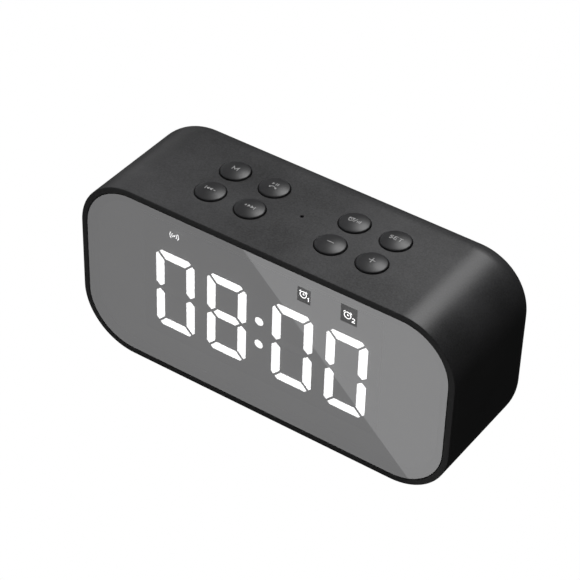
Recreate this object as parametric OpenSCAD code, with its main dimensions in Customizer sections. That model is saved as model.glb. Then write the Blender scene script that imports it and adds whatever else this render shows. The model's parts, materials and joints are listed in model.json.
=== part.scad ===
// Table clock radio with a mirror display, eight top buttons and two rear-facing speakers.
// Millimetres. X runs to the right seen from the front, Y to the back and Z up.
// The origin is under the middle of the body, on the surface that the feet stand on.

/* [Body] */
// Width of the body, side to side
body_w = 140; // [132:1:170]
// Height of the body without its feet
body_h = 66; // [65:1:82]
// Depth of the body, front to back
body_d = 49; // [48:1:62]
// Radius of the four corners seen from the front
corner_r = 20; // [17:0.5:24]
// Radius of the edge round the back
back_edge_r = 6; // [4.5:0.5:6.5]
// Wall of the housing, which is also the rim round the display
wall = 2.1; // [1.8:0.1:2.5]
// Height of the rubber feet below the body
foot_h = 1.2; // [0.8:0.1:3]
// Diameter of the rubber feet
foot_d = 10; // [7:0.5:12]
// How deep the feet are let into the body
foot_recess = 0.8; // [0.4:0.1:1]

/* [Fits] */
// Gap all round a fixed piece that drops into an opening
seat_gap = 0.15; // [0.1:0.05:0.2]
// Gap round each button in its hole
button_gap = 0.25; // [0.2:0.05:0.4]
// Radial gap between a screw and its pilot hole
screw_gap = 0.05; // [0.05:0.01:0.1]

/* [Display] */
// Thickness of the half-mirror lens
lens_t = 1.2; // [0.8:0.1:1.6]
// How far the lens lies behind the edge of the housing
lens_recess = 0.1; // [0:0.05:0.3]
// Width of the adhesive tape behind the lens
tape_w = 3; // [1.5:0.5:3]
// Width of one digit
digit_w = 15.2; // [12:0.2:16.4]
// Height of one digit
digit_h = 30.6; // [24:0.2:34]
// Width of a segment's stroke
stroke = 3.35; // [2:0.05:3.8]
// Gap between neighbouring segments
segment_gap = 0.7; // [0.4:0.05:1]
// Distance between the two digits of a pair
digit_pitch = 20; // [18:0.5:21]
// Distance between the middles of the two pairs
pair_pitch = 44.9; // [43:0.1:47]
// Diameter of the two dots between the pairs
dot_d = 3.25; // [2:0.05:4]
// Distance between the two dots
dot_pitch = 9.2; // [7:0.1:12]
// Middle of the digits, to the right of the middle of the body
digits_x = -1.2; // [-2:0.1:2]
// Middle of the digits above the middle of the body
digits_z = -0.7; // [-2:0.1:0]
// Height of the row of signs above the middle of the digits
sign_rise = 22.9; // [21:0.1:23]
// Depth of the reflector block behind the lens
block_depth = 6; // [5:0.5:7]

/* [Buttons] */
// Diameter of a button
button_d = 10.3; // [8:0.1:11]
// Height of a button's edge above the body
button_edge = 0.45; // [0.3:0.05:1]
// Height of a button's dome above its edge
button_dome = 0.85; // [0.4:0.05:1.2]
// How far a button travels
button_travel = 0.5; // [0.3:0.05:0.7]
// Distance between the columns of a group of four buttons
column_pitch = 15; // [14:0.1:16]
// Distance between the two rows
row_pitch = 13.3; // [12.8:0.1:14]
// Distance between the middles of the two groups
group_pitch = 45; // [42:0.5:50]
// Middle of the two rows behind the front face
rows_from_front = 21.8; // [21:0.1:22.5]
// Diameter of the microphone hole between the rows
mic_hole_d = 1; // [0.6:0.1:1.6]

/* [Speakers] */
// Diameter of a speaker's frame
speaker_d = 36; // [30:0.5:37]
// Distance between the two speakers
speaker_pitch = 74; // [70:1:76]
// Middle of the speakers above the middle of the body
speaker_rise = 3.8; // [3:0.1:4.2]
// Largest travel of a cone, each way
cone_travel = 1.2; // [0.4:0.1:1.2]
// Width of the rear grille
grille_w = 104; // [96:1:108]
// Height of the rear grille
grille_h = 34; // [30:1:35]
// Diameter of a hole in the grille
grille_hole_d = 2; // [1.4:0.1:2.4]
// Distance between the holes in the grille
grille_pitch = 3.4; // [3:0.1:4]

/* [Sockets] */
// Diameter of the hole for the audio plug
jack_bore_d = 3.6; // [3.55:0.05:3.8]
// Depth of the hole for the audio plug
jack_depth = 14; // [10:0.5:15]
// Width of the memory card's slot
card_w = 11.4; // [11.2:0.1:12]
// How far the power switch travels
switch_travel = 2; // [1:0.1:2.5]

/* [Battery] */
// Width of the battery
battery_w = 50; // [30:1:52]
// Height of the battery
battery_h = 34; // [24:1:36]
// Thickness of the battery
battery_t = 9.5; // [6:0.5:10]

/* [Hidden] */
$fn = 64;

// Body: outer planes and the middle
front_y = -body_d / 2;
rear_y = body_d / 2;
middle_z = foot_h + body_h / 2;
top_z = foot_h + body_h;
ceiling_z = top_z - wall;
floor_z = foot_h + wall;

// Rear cover and the flange that it seats on
cover_t = 2.2;
cover_recess = 0.2;
lip_w = 1.6;
cover_inset = back_edge_r + lip_w;
flange_w = 2;
flange_t = 2;
cover_y = rear_y - cover_recess - cover_t;
cover_w = body_w - 2 * cover_inset - 2 * seat_gap;
cover_h = body_h - 2 * cover_inset - 2 * seat_gap;
cover_r = corner_r - cover_inset - seat_gap;
cover_screw_edge = 3.4;
cover_screw_off = (cover_r - cover_screw_edge) * sin(45) - cover_r;
cover_screw_x = cover_w / 2 + cover_screw_off;
cover_screw_z = cover_h / 2 + cover_screw_off;

// Display stack, from the lens back
lens_y = front_y + lens_recess + lens_t;
tape_t = 0.3;
frame_y = lens_y + tape_t;
frame_t = 2.5;
mask_t = 0.15;
board_t = 1.6;
block_w = pair_pitch + digit_pitch + digit_w + 9;
block_h = digit_h + 15.4;
block_z = middle_z + digits_z + 3.7;
block_end_y = frame_y + block_depth;
display_end_y = block_end_y + board_t;
guide_depth = block_depth - 1.2;
led_h = 0.7;
digits_mid_z = middle_z + digits_z;
sign_z = digits_mid_z + sign_rise;
sign_x = [-32.6, 16.5, 32.7];
sign_w = [4.6, 4.8, 5.5];
sign_h = [3.0, 4.2, 4.3];
frame_post_x = body_w / 2 - wall - 9;
frame_post_z = 10;
tab_y = frame_y + frame_t + 2.5;
tab_t = 2;
display_screw_x = block_w / 2 + 3;
display_screw_z = block_h / 2 - 4;

// Screws: shank diameter, head diameter, head height and length under the head
screw_d = 2;
head_d = 3.8;
head_h = 1.4;
screw_l = 5;
pilot_d = screw_d + 2 * screw_gap;
boss_d = 4.6;
cross_w = 0.5;
cross_depth = 0.7;

// Buttons, their switches and the board under them
flange_gap = 0.3;
button_flange_t = 1.1;
button_flange_w = 0.85;
button_flange_z = ceiling_z - flange_gap - button_flange_t;
stem_d = 4;
stem_l = 2.1;
plunger_d = 3.4;
plunger_up = button_travel + 0.5;
plunger_in = 2;
switch_w = 6;
switch_h = 3.5;
plunger_z = button_flange_z - stem_l;
switch_z = plunger_z - plunger_up;
button_board_z = switch_z - switch_h - board_t;
rows_y = front_y + rows_from_front;
column_x = column_pitch / 2;
board_margin = 12;
button_board_w = group_pitch + column_pitch + 2 * board_margin;
button_board_d = row_pitch + 9;
post_x = button_board_w / 2 - 3;
mic_d = 6;
mic_h = 2.7;
mic_boot_t = 1;

// Speakers: they look to the back, through the cover
speaker_z = middle_z + speaker_rise;
speaker_r = speaker_d / 2;
gasket_t = 0.5;
rim_t = 1.8;
rim_w = 1.6;
rim_y = cover_y - gasket_t - rim_t;
surround_w = 2.4;
surround_t = 0.3;
cone_r = speaker_r - rim_w - surround_w;
cone_y = rim_y + 0.7;
magnet_r = 12.5;
basket_depth = 6.8;
basket_end_y = rim_y - basket_depth;
magnet_t = 7.5;
magnet_y = basket_end_y - magnet_t;
// Depth below the rim where the leads are soldered, the basket's radius there, and the tag's
lead_depth = 1.6;
basket_wall_r = speaker_r - 0.8 - (speaker_r - 0.8 - magnet_r) * lead_depth / basket_depth;
tag_r = basket_wall_r + 1.6;
pole_r = 6.5;
coil_in_r = 6.9;
coil_out_r = 7.2;
gap_out_r = 7.6;
speaker_hole_d = speaker_d - 2 * rim_w + 0.6;
speaker_screw_r = speaker_r + 1.9;
speaker_screw_angle = 25;
grille_t = 0.8;
grille_recess = 1;
grille_r = 14;

// Main board and its sockets
standoff_h = 8;
main_board_z = floor_z + standoff_h;
main_top_z = main_board_z + board_t;
main_board_w = 72;
main_board_d = 22.6;
main_board_y = cover_y - 0.9 - main_board_d;
standoff_x = main_board_w / 2 - 3;
standoff_y = [main_board_y + 4.5, main_board_y + 17.5];
socket_y = cover_y - 0.3;
jack_x = -11;
jack_body = [6.4, jack_depth - 2, 5];
jack_nose_d = 6;
usb_x = 0;
usb_shell = [7.5, 5.6, 2.6];
card_x = 15.5;
card_shell = [14.4, 14.6, 1.9];
switch_x = -23;
switch_shell = [8.6, 3.6, 3.6];
slider_w = 2.4;
slider_h = 1.6;
port_rim = 0.6;

// Battery behind the display board
pad_t = 1;
pad_y = display_end_y;
battery_y = pad_y + pad_t;
battery_z = main_top_z + 1.5;
battery_x = digits_x - 2;

// Leads: 1.1 mm insulated wires and flat ribbons, each along its own short route
// that starts and ends straight
lead_d = 1.1;
ribbon_w = 8;
ribbon_t = 0.3;
lead_gap = 0.1;
lead_end = 1;

// ---------- helpers ----------

// Stands a flat outline, drawn in X and Z, between two depths
module between(y0, y1) {
    translate([0, y1, 0])
        rotate([90, 0, 0])
            linear_extrude(y1 - y0)
                children();
}

// Rectangle with round corners about the origin, from plain squares and circles
module rounded_rect(w, h, r) {
    square([w - 2 * r, h], center = true);
    square([w, h - 2 * r], center = true);
    for (x = [-1, 1], z = [-1, 1])
        translate([x * (w / 2 - r), z * (h / 2 - r)])
            circle(r);
}

// Outline of the body, drawn in by the same distance all round
module body_outline(inset) {
    translate([0, middle_z])
        rounded_rect(body_w - 2 * inset, body_h - 2 * inset, corner_r - inset);
}

// Cylinder along Y
module rod(x, z, d, y0, y1) {
    between(y0, y1)
        translate([x, z])
            circle(d = d);
}

// Box from its middle in X, its lowest Y and Z, and its size
module block_at(x, y, z, size) {
    translate([x - size[0] / 2, y, z])
        cube(size);
}

// Copies its children to both sides of the middle
module both_sides() {
    for (side = [0, 1])
        mirror([side, 0, 0])
            children();
}

// Pan-head screw with a cross recess: head up, shank down from z = 0
module screw(l = screw_l) {
    difference() {
        union() {
            cylinder(d = head_d, h = head_h);
            translate([0, 0, -l])
                cylinder(d = screw_d, h = l);
        }
        for (turn = [0, 90])
            rotate(turn)
                translate([-head_d / 3, -cross_w / 2, head_h - cross_depth])
                    cube([head_d / 1.5, cross_w, cross_depth]);
    }
}

// Pan-head screw driven forwards from the back: head behind y, shank in front of it
module screw_forwards(x, y, z, l = screw_l) {
    translate([x, y, z])
        rotate([-90, 0, 0])
            screw(l);
}

// Points of a smooth curve through hand-set points
function curve_point(p, i, t) =
    let (
        a = p[max(i - 1, 0)],
        b = p[i],
        c = p[i + 1],
        d = p[min(i + 2, len(p) - 1)]
    )
    0.5 * (2 * b + (c - a) * t + (2 * a - 5 * b + 4 * c - d) * t * t
        + (3 * b - a - 3 * c + d) * t * t * t);

function curve(p, steps) =
    concat([for (i = [0:len(p) - 2], s = [0:steps - 1]) curve_point(p, i, s / steps)],
        [p[len(p) - 1]]);

function unit(v) = v / norm(v);

// Ring of a section about one point of a route, its first direction nearest to X
function ring(at, along, section) =
    let (
        side = unit([1, 0, 0] - along[0] * along),
        up = cross(along, side)
    )
    [for (s = section) at + s[0] * side + s[1] * up];

// Solid swept along a route that never runs along X
module sweep(route, section) {
    n = len(section);
    last = len(route) - 1;
    points = [for (i = [0:last])
        each ring(route[i], unit(route[min(i + 1, last)] - route[max(i - 1, 0)]), section)];
    walls = [for (i = [0:last - 1], k = [0:n - 1])
        [i * n + k, (i + 1) * n + k, (i + 1) * n + (k + 1) % n, i * n + (k + 1) % n]];
    triangles = [for (w = walls) each [[w[0], w[1], w[2]], [w[0], w[2], w[3]]]];
    start_cap = [for (k = [1:n - 2]) [0, k, k + 1]];
    end_cap = [for (k = [1:n - 2]) [last * n, last * n + k + 1, last * n + k]];
    polyhedron(points, concat(triangles, start_cap, end_cap));
}

wire_section = [for (k = [0:7]) lead_d / 2 * [cos(45 * k), sin(45 * k)]];
ribbon_section = [
    [-ribbon_w / 2, -ribbon_t / 2], [ribbon_w / 2, -ribbon_t / 2],
    [ribbon_w / 2, ribbon_t / 2], [-ribbon_w / 2, ribbon_t / 2]
];

// ---------- housing, cover and feet ----------

// Quarter of a disc that rounds the edge round the back
module edge_section() {
    intersection() {
        circle(back_edge_r);
        square(back_edge_r);
    }
}

// Solid form of the body: straight from the front, with a rounded edge round the back
module body_form() {
    edge_y = rear_y - back_edge_r;
    half_w = body_w / 2 - corner_r;
    half_h = body_h / 2 - corner_r;
    between(front_y, edge_y)
        body_outline(0);
    between(edge_y, rear_y)
        body_outline(back_edge_r);
    translate([0, edge_y, middle_z])
        rotate([-90, 0, 0]) {
            for (x = [0, 1], z = [0, 1])
                mirror([x, 0, 0])
                    mirror([0, z, 0])
                        translate([half_w, half_h, 0])
                            rotate_extrude(angle = 90)
                                translate([corner_r - back_edge_r, 0])
                                    edge_section();
            for (z = [0, 1])
                mirror([0, z, 0])
                    translate([-half_w, body_h / 2 - back_edge_r, 0])
                        rotate([90, 0, 90])
                            linear_extrude(2 * half_w)
                                edge_section();
            for (x = [0, 1])
                mirror([x, 0, 0])
                    translate([body_w / 2 - back_edge_r, half_h, 0])
                        rotate([90, 0, 0])
                            linear_extrude(2 * half_h)
                                edge_section();
        }
}

module at_feet() {
    for (x = [-1, 1], y = [front_y + 9.5, rear_y - back_edge_r - 8.5])
        translate([x * (body_w / 2 - corner_r - 5), y, 0])
            children();
}

module at_cover_screws() {
    for (x = [-1, 1], z = [-1, 1])
        translate([x * cover_screw_x, cover_y, middle_z + z * cover_screw_z])
            children();
}

// Buttons in order: left group back row, left group front row, then the right group
module at_button(i) {
    group = i < 4 ? -1 : 1;
    column = i % 2 == 0 ? -1 : 1;
    row = i % 4 < 2 ? 1 : -1;
    translate([
        group * group_pitch / 2 + column * column_x,
        rows_y + row * row_pitch / 2,
        0
    ])
        children();
}

module at_buttons() {
    for (i = [0:7])
        at_button(i)
            children();
}

module at_button_posts() {
    for (x = [-1, 1], y = [-1, 1])
        translate([x * post_x, rows_y + y * row_pitch / 2, 0])
            children();
    for (x = [-1, 1])
        translate([x * group_pitch / 2, rows_y, 0])
            children();
}

module at_standoffs() {
    for (x = [-1, 1], y = standoff_y)
        translate([x * standoff_x, y, 0])
            children();
}

module at_frame_posts() {
    for (x = [-1, 1], z = [-1, 1])
        translate([x * frame_post_x, 0, middle_z + z * frame_post_z])
            children();
}

module at_display_screws() {
    for (x = [-1, 1], z = [-1, 1])
        translate([digits_x + x * display_screw_x, 0, block_z + z * display_screw_z])
            children();
}

boss_l = 12;

// Boss for a cover screw, tied to the corner of the housing by a rib
module cover_boss(x, z) {
    rib = corner_r - wall;
    translate([x * cover_screw_x, 0, middle_z + z * cover_screw_z])
        between(cover_y - boss_l, cover_y - flange_t)
            circle(d = boss_d + 1);
    translate([x * (body_w / 2 - corner_r), 0, middle_z + z * (body_h / 2 - corner_r)])
        between(cover_y - boss_l, cover_y - flange_t)
            rotate(atan2(z, x))
                translate([cover_r - cover_screw_edge + boss_d / 2 - 1, -0.8])
                    square([rib - cover_r + cover_screw_edge - boss_d / 2 + 1.5, 1.6]);
}

module housing_shell() {
    color([0.16, 0.16, 0.165])
        difference() {
            union() {
                difference() {
                    body_form();
                    between(front_y - 1, cover_y - flange_t)
                        body_outline(wall);
                }
                for (x = [-1, 1], z = [-1, 1])
                    cover_boss(x, z);
                both_sides()
                    for (z = [-1, 1])
                        translate([frame_post_x - 4, tab_y, middle_z + z * frame_post_z - 4])
                            cube([body_w / 2 - wall / 2 - frame_post_x + 4, tab_t, 8]);
                at_button_posts()
                    translate([0, 0, button_board_z + board_t])
                        cylinder(d = boss_d, h = ceiling_z + wall / 2 - button_board_z - board_t);
                at_standoffs()
                    translate([0, 0, floor_z - wall / 2])
                        cylinder(d = boss_d, h = main_board_z - floor_z + wall / 2);
            }
            between(cover_y - 2 * flange_t, cover_y)
                body_outline(cover_inset + flange_w);
            between(cover_y, rear_y + 1)
                body_outline(cover_inset);
            at_cover_screws()
                rotate([90, 0, 0])
                    translate([0, 0, -1])
                        cylinder(d = pilot_d, h = 9);
            at_frame_posts()
                rod(0, 0, pilot_d + 0.3, tab_y - 1, tab_y + tab_t + 1);
            at_button_posts()
                translate([0, 0, button_board_z])
                    cylinder(d = pilot_d, h = board_t + 5);
            at_standoffs()
                translate([0, 0, main_board_z - 5])
                    cylinder(d = pilot_d, h = 6);
            at_buttons()
                translate([0, 0, ceiling_z - 1])
                    cylinder(d = button_d + 2 * button_gap, h = wall + 2);
            translate([0, rows_y, ceiling_z - 1])
                cylinder(d = mic_hole_d, h = wall + 2);
            at_feet()
                cylinder(d = foot_d + 2 * seat_gap, h = foot_h + foot_recess);
        }
}

// Openings in the cover for the sockets, cut through along Y
module port_openings() {
    between(cover_y - 3, rear_y + 1) {
        translate([jack_x, main_top_z + jack_body[2] / 2])
            circle(d = jack_nose_d + 2 * seat_gap);
        translate([usb_x, main_top_z + usb_shell[2] / 2])
            square([usb_shell[0] + 2 * port_rim, usb_shell[2] + 2 * port_rim], center = true);
        translate([card_x, main_top_z + card_shell[2] / 2])
            square([card_w + 2 * port_rim, card_shell[2] + port_rim], center = true);
        translate([switch_x, main_top_z + switch_shell[2] / 2])
            square([slider_w + switch_travel + 2 * port_rim, slider_h + port_rim], center = true);
    }
}

module at_speaker_screws() {
    for (x = [-1, 1], flip = [0, 180], turn = [-1, 1])
        translate([x * speaker_pitch / 2, 0, speaker_z])
            rotate([0, flip + turn * speaker_screw_angle, 0])
                translate([speaker_screw_r, 0, 0])
                    children();
}

module rear_cover() {
    color([0.15, 0.15, 0.155])
        difference() {
            union() {
                between(cover_y, cover_y + cover_t)
                    translate([0, middle_z])
                        rounded_rect(cover_w, cover_h, cover_r);
                at_speaker_screws()
                    rod(0, 0, 3.6, rim_y, cover_y + cover_t / 2);
            }
            both_sides()
                rod(speaker_pitch / 2, speaker_z, speaker_hole_d, cover_y - 1, rear_y + 1);
            both_sides()
                rod(speaker_pitch / 2, speaker_z, speaker_d + 2 * seat_gap, cover_y - 3, cover_y);
            between(cover_y + cover_t - grille_recess, rear_y + 1)
                translate([0, speaker_z])
                    rounded_rect(grille_w + 2 * seat_gap, grille_h + 2 * seat_gap,
                        grille_r + seat_gap);
            port_openings();
            at_cover_screws()
                rod(0, 0, pilot_d + 0.3, -1, cover_t + 1);
            at_cover_screws()
                rod(0, 0, head_d + 0.6, cover_t - head_h, cover_t + 1);
            at_speaker_screws()
                rod(0, 0, 1.6, rim_y - 1, cover_y + cover_t - 1.4);
        }
}

// Holes of the grille in front of one speaker: rings of a hexagon
function grille_holes(rings) =
    [for (i = [-rings:rings], k = [-rings:rings])
        if (abs(i + k) <= rings) grille_pitch * [i + k / 2, k * sin(60)]];

grille_rings = floor((min(speaker_hole_d, grille_h) / 2 - grille_hole_d) / grille_pitch);

module rear_grille() {
    grille_y = cover_y + cover_t - grille_recess;
    color([0.2, 0.2, 0.2])
        between(grille_y, grille_y + grille_t)
            translate([0, speaker_z])
                difference() {
                    rounded_rect(grille_w, grille_h, grille_r);
                    for (x = [-1, 1])
                        translate([x * speaker_pitch / 2, 0])
                            for (p = grille_holes(grille_rings))
                                translate(p)
                                    circle(d = grille_hole_d);
                }
}

module rubber_feet() {
    color([0.08, 0.08, 0.08])
        at_feet()
            cylinder(d = foot_d, h = foot_h + foot_recess);
}

module cover_screws() {
    color([0.25, 0.25, 0.26])
        at_cover_screws()
            screw_forwards(0, cover_t - head_h, 0, cover_t - head_h + screw_l);
}

// ---------- display ----------

module mirror_lens() {
    color([0.45, 0.45, 0.46])
        between(front_y + lens_recess, lens_y)
            body_outline(wall + seat_gap);
}

module lens_tape() {
    color([0.1, 0.1, 0.1])
        between(lens_y, frame_y)
            difference() {
                body_outline(wall + 2 * seat_gap);
                body_outline(wall + 2 * seat_gap + tape_w);
            }
}

module block_outline(gap) {
    translate([digits_x, block_z])
        square([block_w + 2 * gap, block_h + 2 * gap], center = true);
}

module front_frame() {
    color([0.12, 0.12, 0.12])
        difference() {
            union() {
                between(frame_y, frame_y + frame_t)
                    body_outline(wall + 2 * seat_gap);
                at_frame_posts()
                    rod(0, 0, boss_d + 1, frame_y + frame_t / 2, tab_y);
                at_display_screws()
                    rod(0, 0, boss_d, frame_y + frame_t / 2, block_end_y);
            }
            between(frame_y - 1, block_end_y + 1)
                block_outline(seat_gap);
            at_frame_posts()
                rod(0, 0, pilot_d, frame_y + 0.8, tab_y + 1);
            at_display_screws()
                rod(0, 0, pilot_d, frame_y + 0.8, block_end_y + 1);
        }
}

// Outlines of a digit's segments about the middle of the digit
module end_stroke_outline(length) {
    bevel = 0.27 * stroke;
    start = segment_gap * sin(45);
    polygon([
        [2 * bevel + start, 0], [length - 2 * bevel - start, 0],
        [length - bevel - start, -bevel], [length - stroke - start, -stroke],
        [stroke + start, -stroke], [bevel + start, -bevel]
    ]);
}

module side_stroke_outline() {
    bevel = 0.27 * stroke;
    start = segment_gap * sin(45);
    polygon([
        [0, -2 * bevel - start], [bevel, -bevel - start], [stroke, -stroke - start],
        [stroke, -digit_h / 2 + start + 0.4 * stroke], [stroke / 2, -digit_h / 2 + start],
        [0, -digit_h / 2 + start + 0.4 * stroke]
    ]);
}

module middle_stroke_outline() {
    tip = digit_w / 2 - stroke / 2 - 1.2 * segment_gap;
    polygon([
        [-tip, 0], [stroke / 2 - tip, stroke / 2], [tip - stroke / 2, stroke / 2],
        [tip, 0], [tip - stroke / 2, -stroke / 2], [stroke / 2 - tip, -stroke / 2]
    ]);
}

// The six outer segments of a digit
module outer_segments() {
    for (flip = [0, 1])
        mirror([0, flip])
            translate([-digit_w / 2, digit_h / 2])
                end_stroke_outline(digit_w);
    for (x = [0, 1], z = [0, 1])
        mirror([x, 0])
            mirror([0, z])
                translate([-digit_w / 2, digit_h / 2])
                    side_stroke_outline();
}

module at_digit(i) {
    pair = i < 2 ? -1 : 1;
    place = i % 2 == 0 ? -1 : 1;
    translate([digits_x + pair * pair_pitch / 2 + place * digit_pitch / 2, digits_mid_z])
        children();
}

// Outlines of the segments that are lit at eight o'clock, with the two dots
module lit_outlines() {
    for (i = [0:3])
        at_digit(i)
            outer_segments();
    at_digit(1)
        middle_stroke_outline();
    for (z = [-1, 1])
        translate([digits_x, digits_mid_z + z * dot_pitch / 2])
            circle(d = dot_d);
}

module unlit_outlines() {
    for (i = [0, 2, 3])
        at_digit(i)
            middle_stroke_outline();
}

module sign_outlines() {
    for (i = [0:2])
        translate([digits_x + sign_x[i], sign_z])
            square([sign_w[i], sign_h[i]], center = true);
}

module light_mask() {
    color([0.05, 0.05, 0.05])
        between(frame_y - mask_t, frame_y)
            difference() {
                block_outline(0);
                lit_outlines();
                unlit_outlines();
                sign_outlines();
            }
}

module segment_block() {
    color([0.85, 0.85, 0.83])
        between(frame_y, block_end_y)
            difference() {
                block_outline(0);
                lit_outlines();
                unlit_outlines();
                sign_outlines();
            }
}

module lit_segments() {
    color([1, 1, 1])
        between(frame_y, frame_y + guide_depth)
            lit_outlines();
}

module unlit_segments() {
    color([0.5, 0.5, 0.5])
        between(frame_y, frame_y + guide_depth)
            unlit_outlines();
}

module sign_windows() {
    color([0.35, 0.35, 0.35])
        between(frame_y, frame_y + guide_depth)
            sign_outlines();
}

display_board_w = 2 * display_screw_x + 6;

module display_board() {
    color([0.05, 0.3, 0.15])
        between(block_end_y, display_end_y)
            difference() {
                translate([digits_x, block_z])
                    square([display_board_w, block_h + 1], center = true);
                for (x = [-1, 1], z = [-1, 1])
                    translate([digits_x + x * display_screw_x, block_z + z * display_screw_z])
                        circle(d = pilot_d + 0.3);
            }
}

// One small lamp on the display board at a place of its front face
module led(size) {
    translate([-size[0] / 2, block_end_y - led_h, -size[1] / 2])
        cube([size[0], led_h, size[1]]);
}

module segment_leds() {
    side_x = digit_w / 2 - stroke / 2;
    end_z = digit_h / 2 - stroke / 2;
    color([0.9, 0.9, 0.6]) {
        for (i = [0:3])
            translate([
                digits_x + (i < 2 ? -1 : 1) * pair_pitch / 2
                    + (i % 2 == 0 ? -1 : 1) * digit_pitch / 2,
                0, digits_mid_z
            ]) {
                for (z = [-1, 0, 1])
                    translate([0, 0, z * end_z])
                        led([2, 1.2]);
                for (x = [-1, 1], z = [-1, 1])
                    translate([x * side_x, 0, z * digit_h / 4])
                        led([1.2, 2]);
            }
        for (z = [-1, 1])
            translate([digits_x, 0, digits_mid_z + z * dot_pitch / 2])
                led([1.2, 1.2]);
        for (x = sign_x)
            translate([digits_x + x, 0, sign_z])
                led([1.2, 1.2]);
    }
}

// Driver chip, resistor packs and the ribbon's connector on the back of the display board
display_plug_x = 28;
display_plug_z = block_z - 14;

module display_chips() {
    color([0.1, 0.1, 0.1]) {
        block_at(digits_x + 36, display_end_y, block_z + 2, [9, 1.4, 9]);
        for (z = [-10, -2, 6])
            block_at(digits_x - 37, display_end_y, block_z + z, [4, 0.9, 5]);
    }
    color([0.85, 0.82, 0.75])
        block_at(display_plug_x, display_end_y, display_plug_z, [ribbon_w + 2, 2.2, 4]);
}

module frame_screws() {
    color([0.7, 0.7, 0.72])
        at_frame_posts()
            screw_forwards(0, tab_y + tab_t, 0, tab_t + 4);
}

// Screws that hold the display board, the button board and the main board
module board_screws() {
    color([0.72, 0.72, 0.74]) {
        at_display_screws()
            screw_forwards(0, display_end_y, 0);
        at_button_posts()
            translate([0, 0, button_board_z])
                rotate([180, 0, 0])
                    screw();
        at_standoffs()
            translate([0, 0, main_top_z])
                screw();
    }
}

// ---------- buttons ----------

module button_cap(i) {
    dome_r = (pow(button_d / 2, 2) + pow(button_dome, 2)) / (2 * button_dome);
    dome_z = top_z + button_edge + button_dome;
    color([0.17, 0.17, 0.175])
        at_button(i) {
            intersection() {
                translate([0, 0, button_flange_z])
                    cylinder(d = button_d, h = dome_z - button_flange_z);
                translate([0, 0, dome_z - dome_r])
                    sphere(dome_r);
            }
            translate([0, 0, button_flange_z])
                cylinder(d = button_d + 2 * button_flange_w, h = button_flange_t);
            translate([0, 0, plunger_z])
                cylinder(d = stem_d, h = stem_l);
        }
}

// Moving pin of the switch under a button
module plunger(i) {
    color([0.75, 0.1, 0.1])
        at_button(i)
            translate([0, 0, plunger_z - plunger_up - plunger_in])
                cylinder(d = plunger_d, h = plunger_up + plunger_in);
}

module tact_switches() {
    color([0.12, 0.12, 0.13])
        at_buttons()
            difference() {
                translate([-switch_w / 2, -switch_w / 2, switch_z - switch_h])
                    cube([switch_w, switch_w, switch_h]);
                translate([0, 0, switch_z - plunger_in - button_travel - 0.3])
                    cylinder(d = plunger_d + 0.1, h = plunger_in + button_travel + 1);
            }
}

module button_board() {
    color([0.05, 0.3, 0.15])
        difference() {
            translate([-button_board_w / 2, rows_y - button_board_d / 2, button_board_z])
                cube([button_board_w, button_board_d, board_t]);
            at_button_posts()
                translate([0, 0, button_board_z - 1])
                    cylinder(d = pilot_d + 0.3, h = board_t + 2);
        }
}

mic_z = ceiling_z - 0.5 - mic_boot_t - mic_h;

module microphone() {
    color([0.7, 0.7, 0.72])
        translate([0, rows_y, 0]) {
            translate([0, 0, mic_z])
                cylinder(d = mic_d, h = mic_h);
            for (x = [-1.27, 1.27])
                translate([x, 0, button_board_z + board_t])
                    cylinder(d = 0.5, h = mic_z - button_board_z - board_t);
        }
}

module mic_boot() {
    boot_z = button_board_z + board_t;
    color([0.07, 0.07, 0.07])
        translate([0, rows_y, 0])
            difference() {
                translate([0, 0, boot_z])
                    cylinder(d = mic_d + 2 * mic_boot_t, h = ceiling_z - 0.3 - boot_z);
                translate([0, 0, boot_z - 1])
                    cylinder(d = mic_d + 0.1, h = mic_z + mic_h + 0.05 - boot_z + 1);
                translate([0, 0, mic_z])
                    cylinder(d = 2, h = 10);
            }
}

// ---------- speakers ----------

// Turns a section about the axis of the speaker on one side: +1 right, -1 left.
// The section is drawn as radius and depth, with the depth measured along Y.
module speaker_turned(side) {
    translate([side * speaker_pitch / 2, 0, speaker_z])
        rotate([-90, 0, 0])
            rotate_extrude()
                children();
}

module basket(side) {
    difference() {
        speaker_turned(side)
            polygon([
                [speaker_r - rim_w, rim_y + 0.4], [speaker_r - rim_w, rim_y + rim_t],
                [speaker_r, rim_y + rim_t], [speaker_r, rim_y],
                [speaker_r - 0.8, rim_y], [magnet_r, basket_end_y], [gap_out_r + 1, basket_end_y],
                [gap_out_r + 1, basket_end_y + 1], [magnet_r - 0.6, basket_end_y + 1]
            ]);
        for (turn = [45:90:315])
            translate([side * speaker_pitch / 2, basket_end_y + 1.8, speaker_z])
                rotate([0, turn, 0])
                    translate([magnet_r - 2, 0, -5])
                        cube([10, basket_depth - 3, 10]);
    }
    block_at(side * (speaker_pitch / 2 - tag_r), rim_y - 3, speaker_z - 2, [2.8, 3.6, 4]);
}

module speaker_baskets() {
    color([0.3, 0.3, 0.31])
        for (side = [-1, 1])
            basket(side);
}

module speaker_magnets() {
    color([0.35, 0.35, 0.36])
        for (side = [-1, 1])
            speaker_turned(side)
                polygon([
                    [0, magnet_y], [magnet_r, magnet_y], [magnet_r, basket_end_y],
                    [gap_out_r, basket_end_y], [gap_out_r, magnet_y + 1.5],
                    [pole_r, magnet_y + 1.5], [pole_r, basket_end_y], [0, basket_end_y]
                ]);
}

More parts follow.
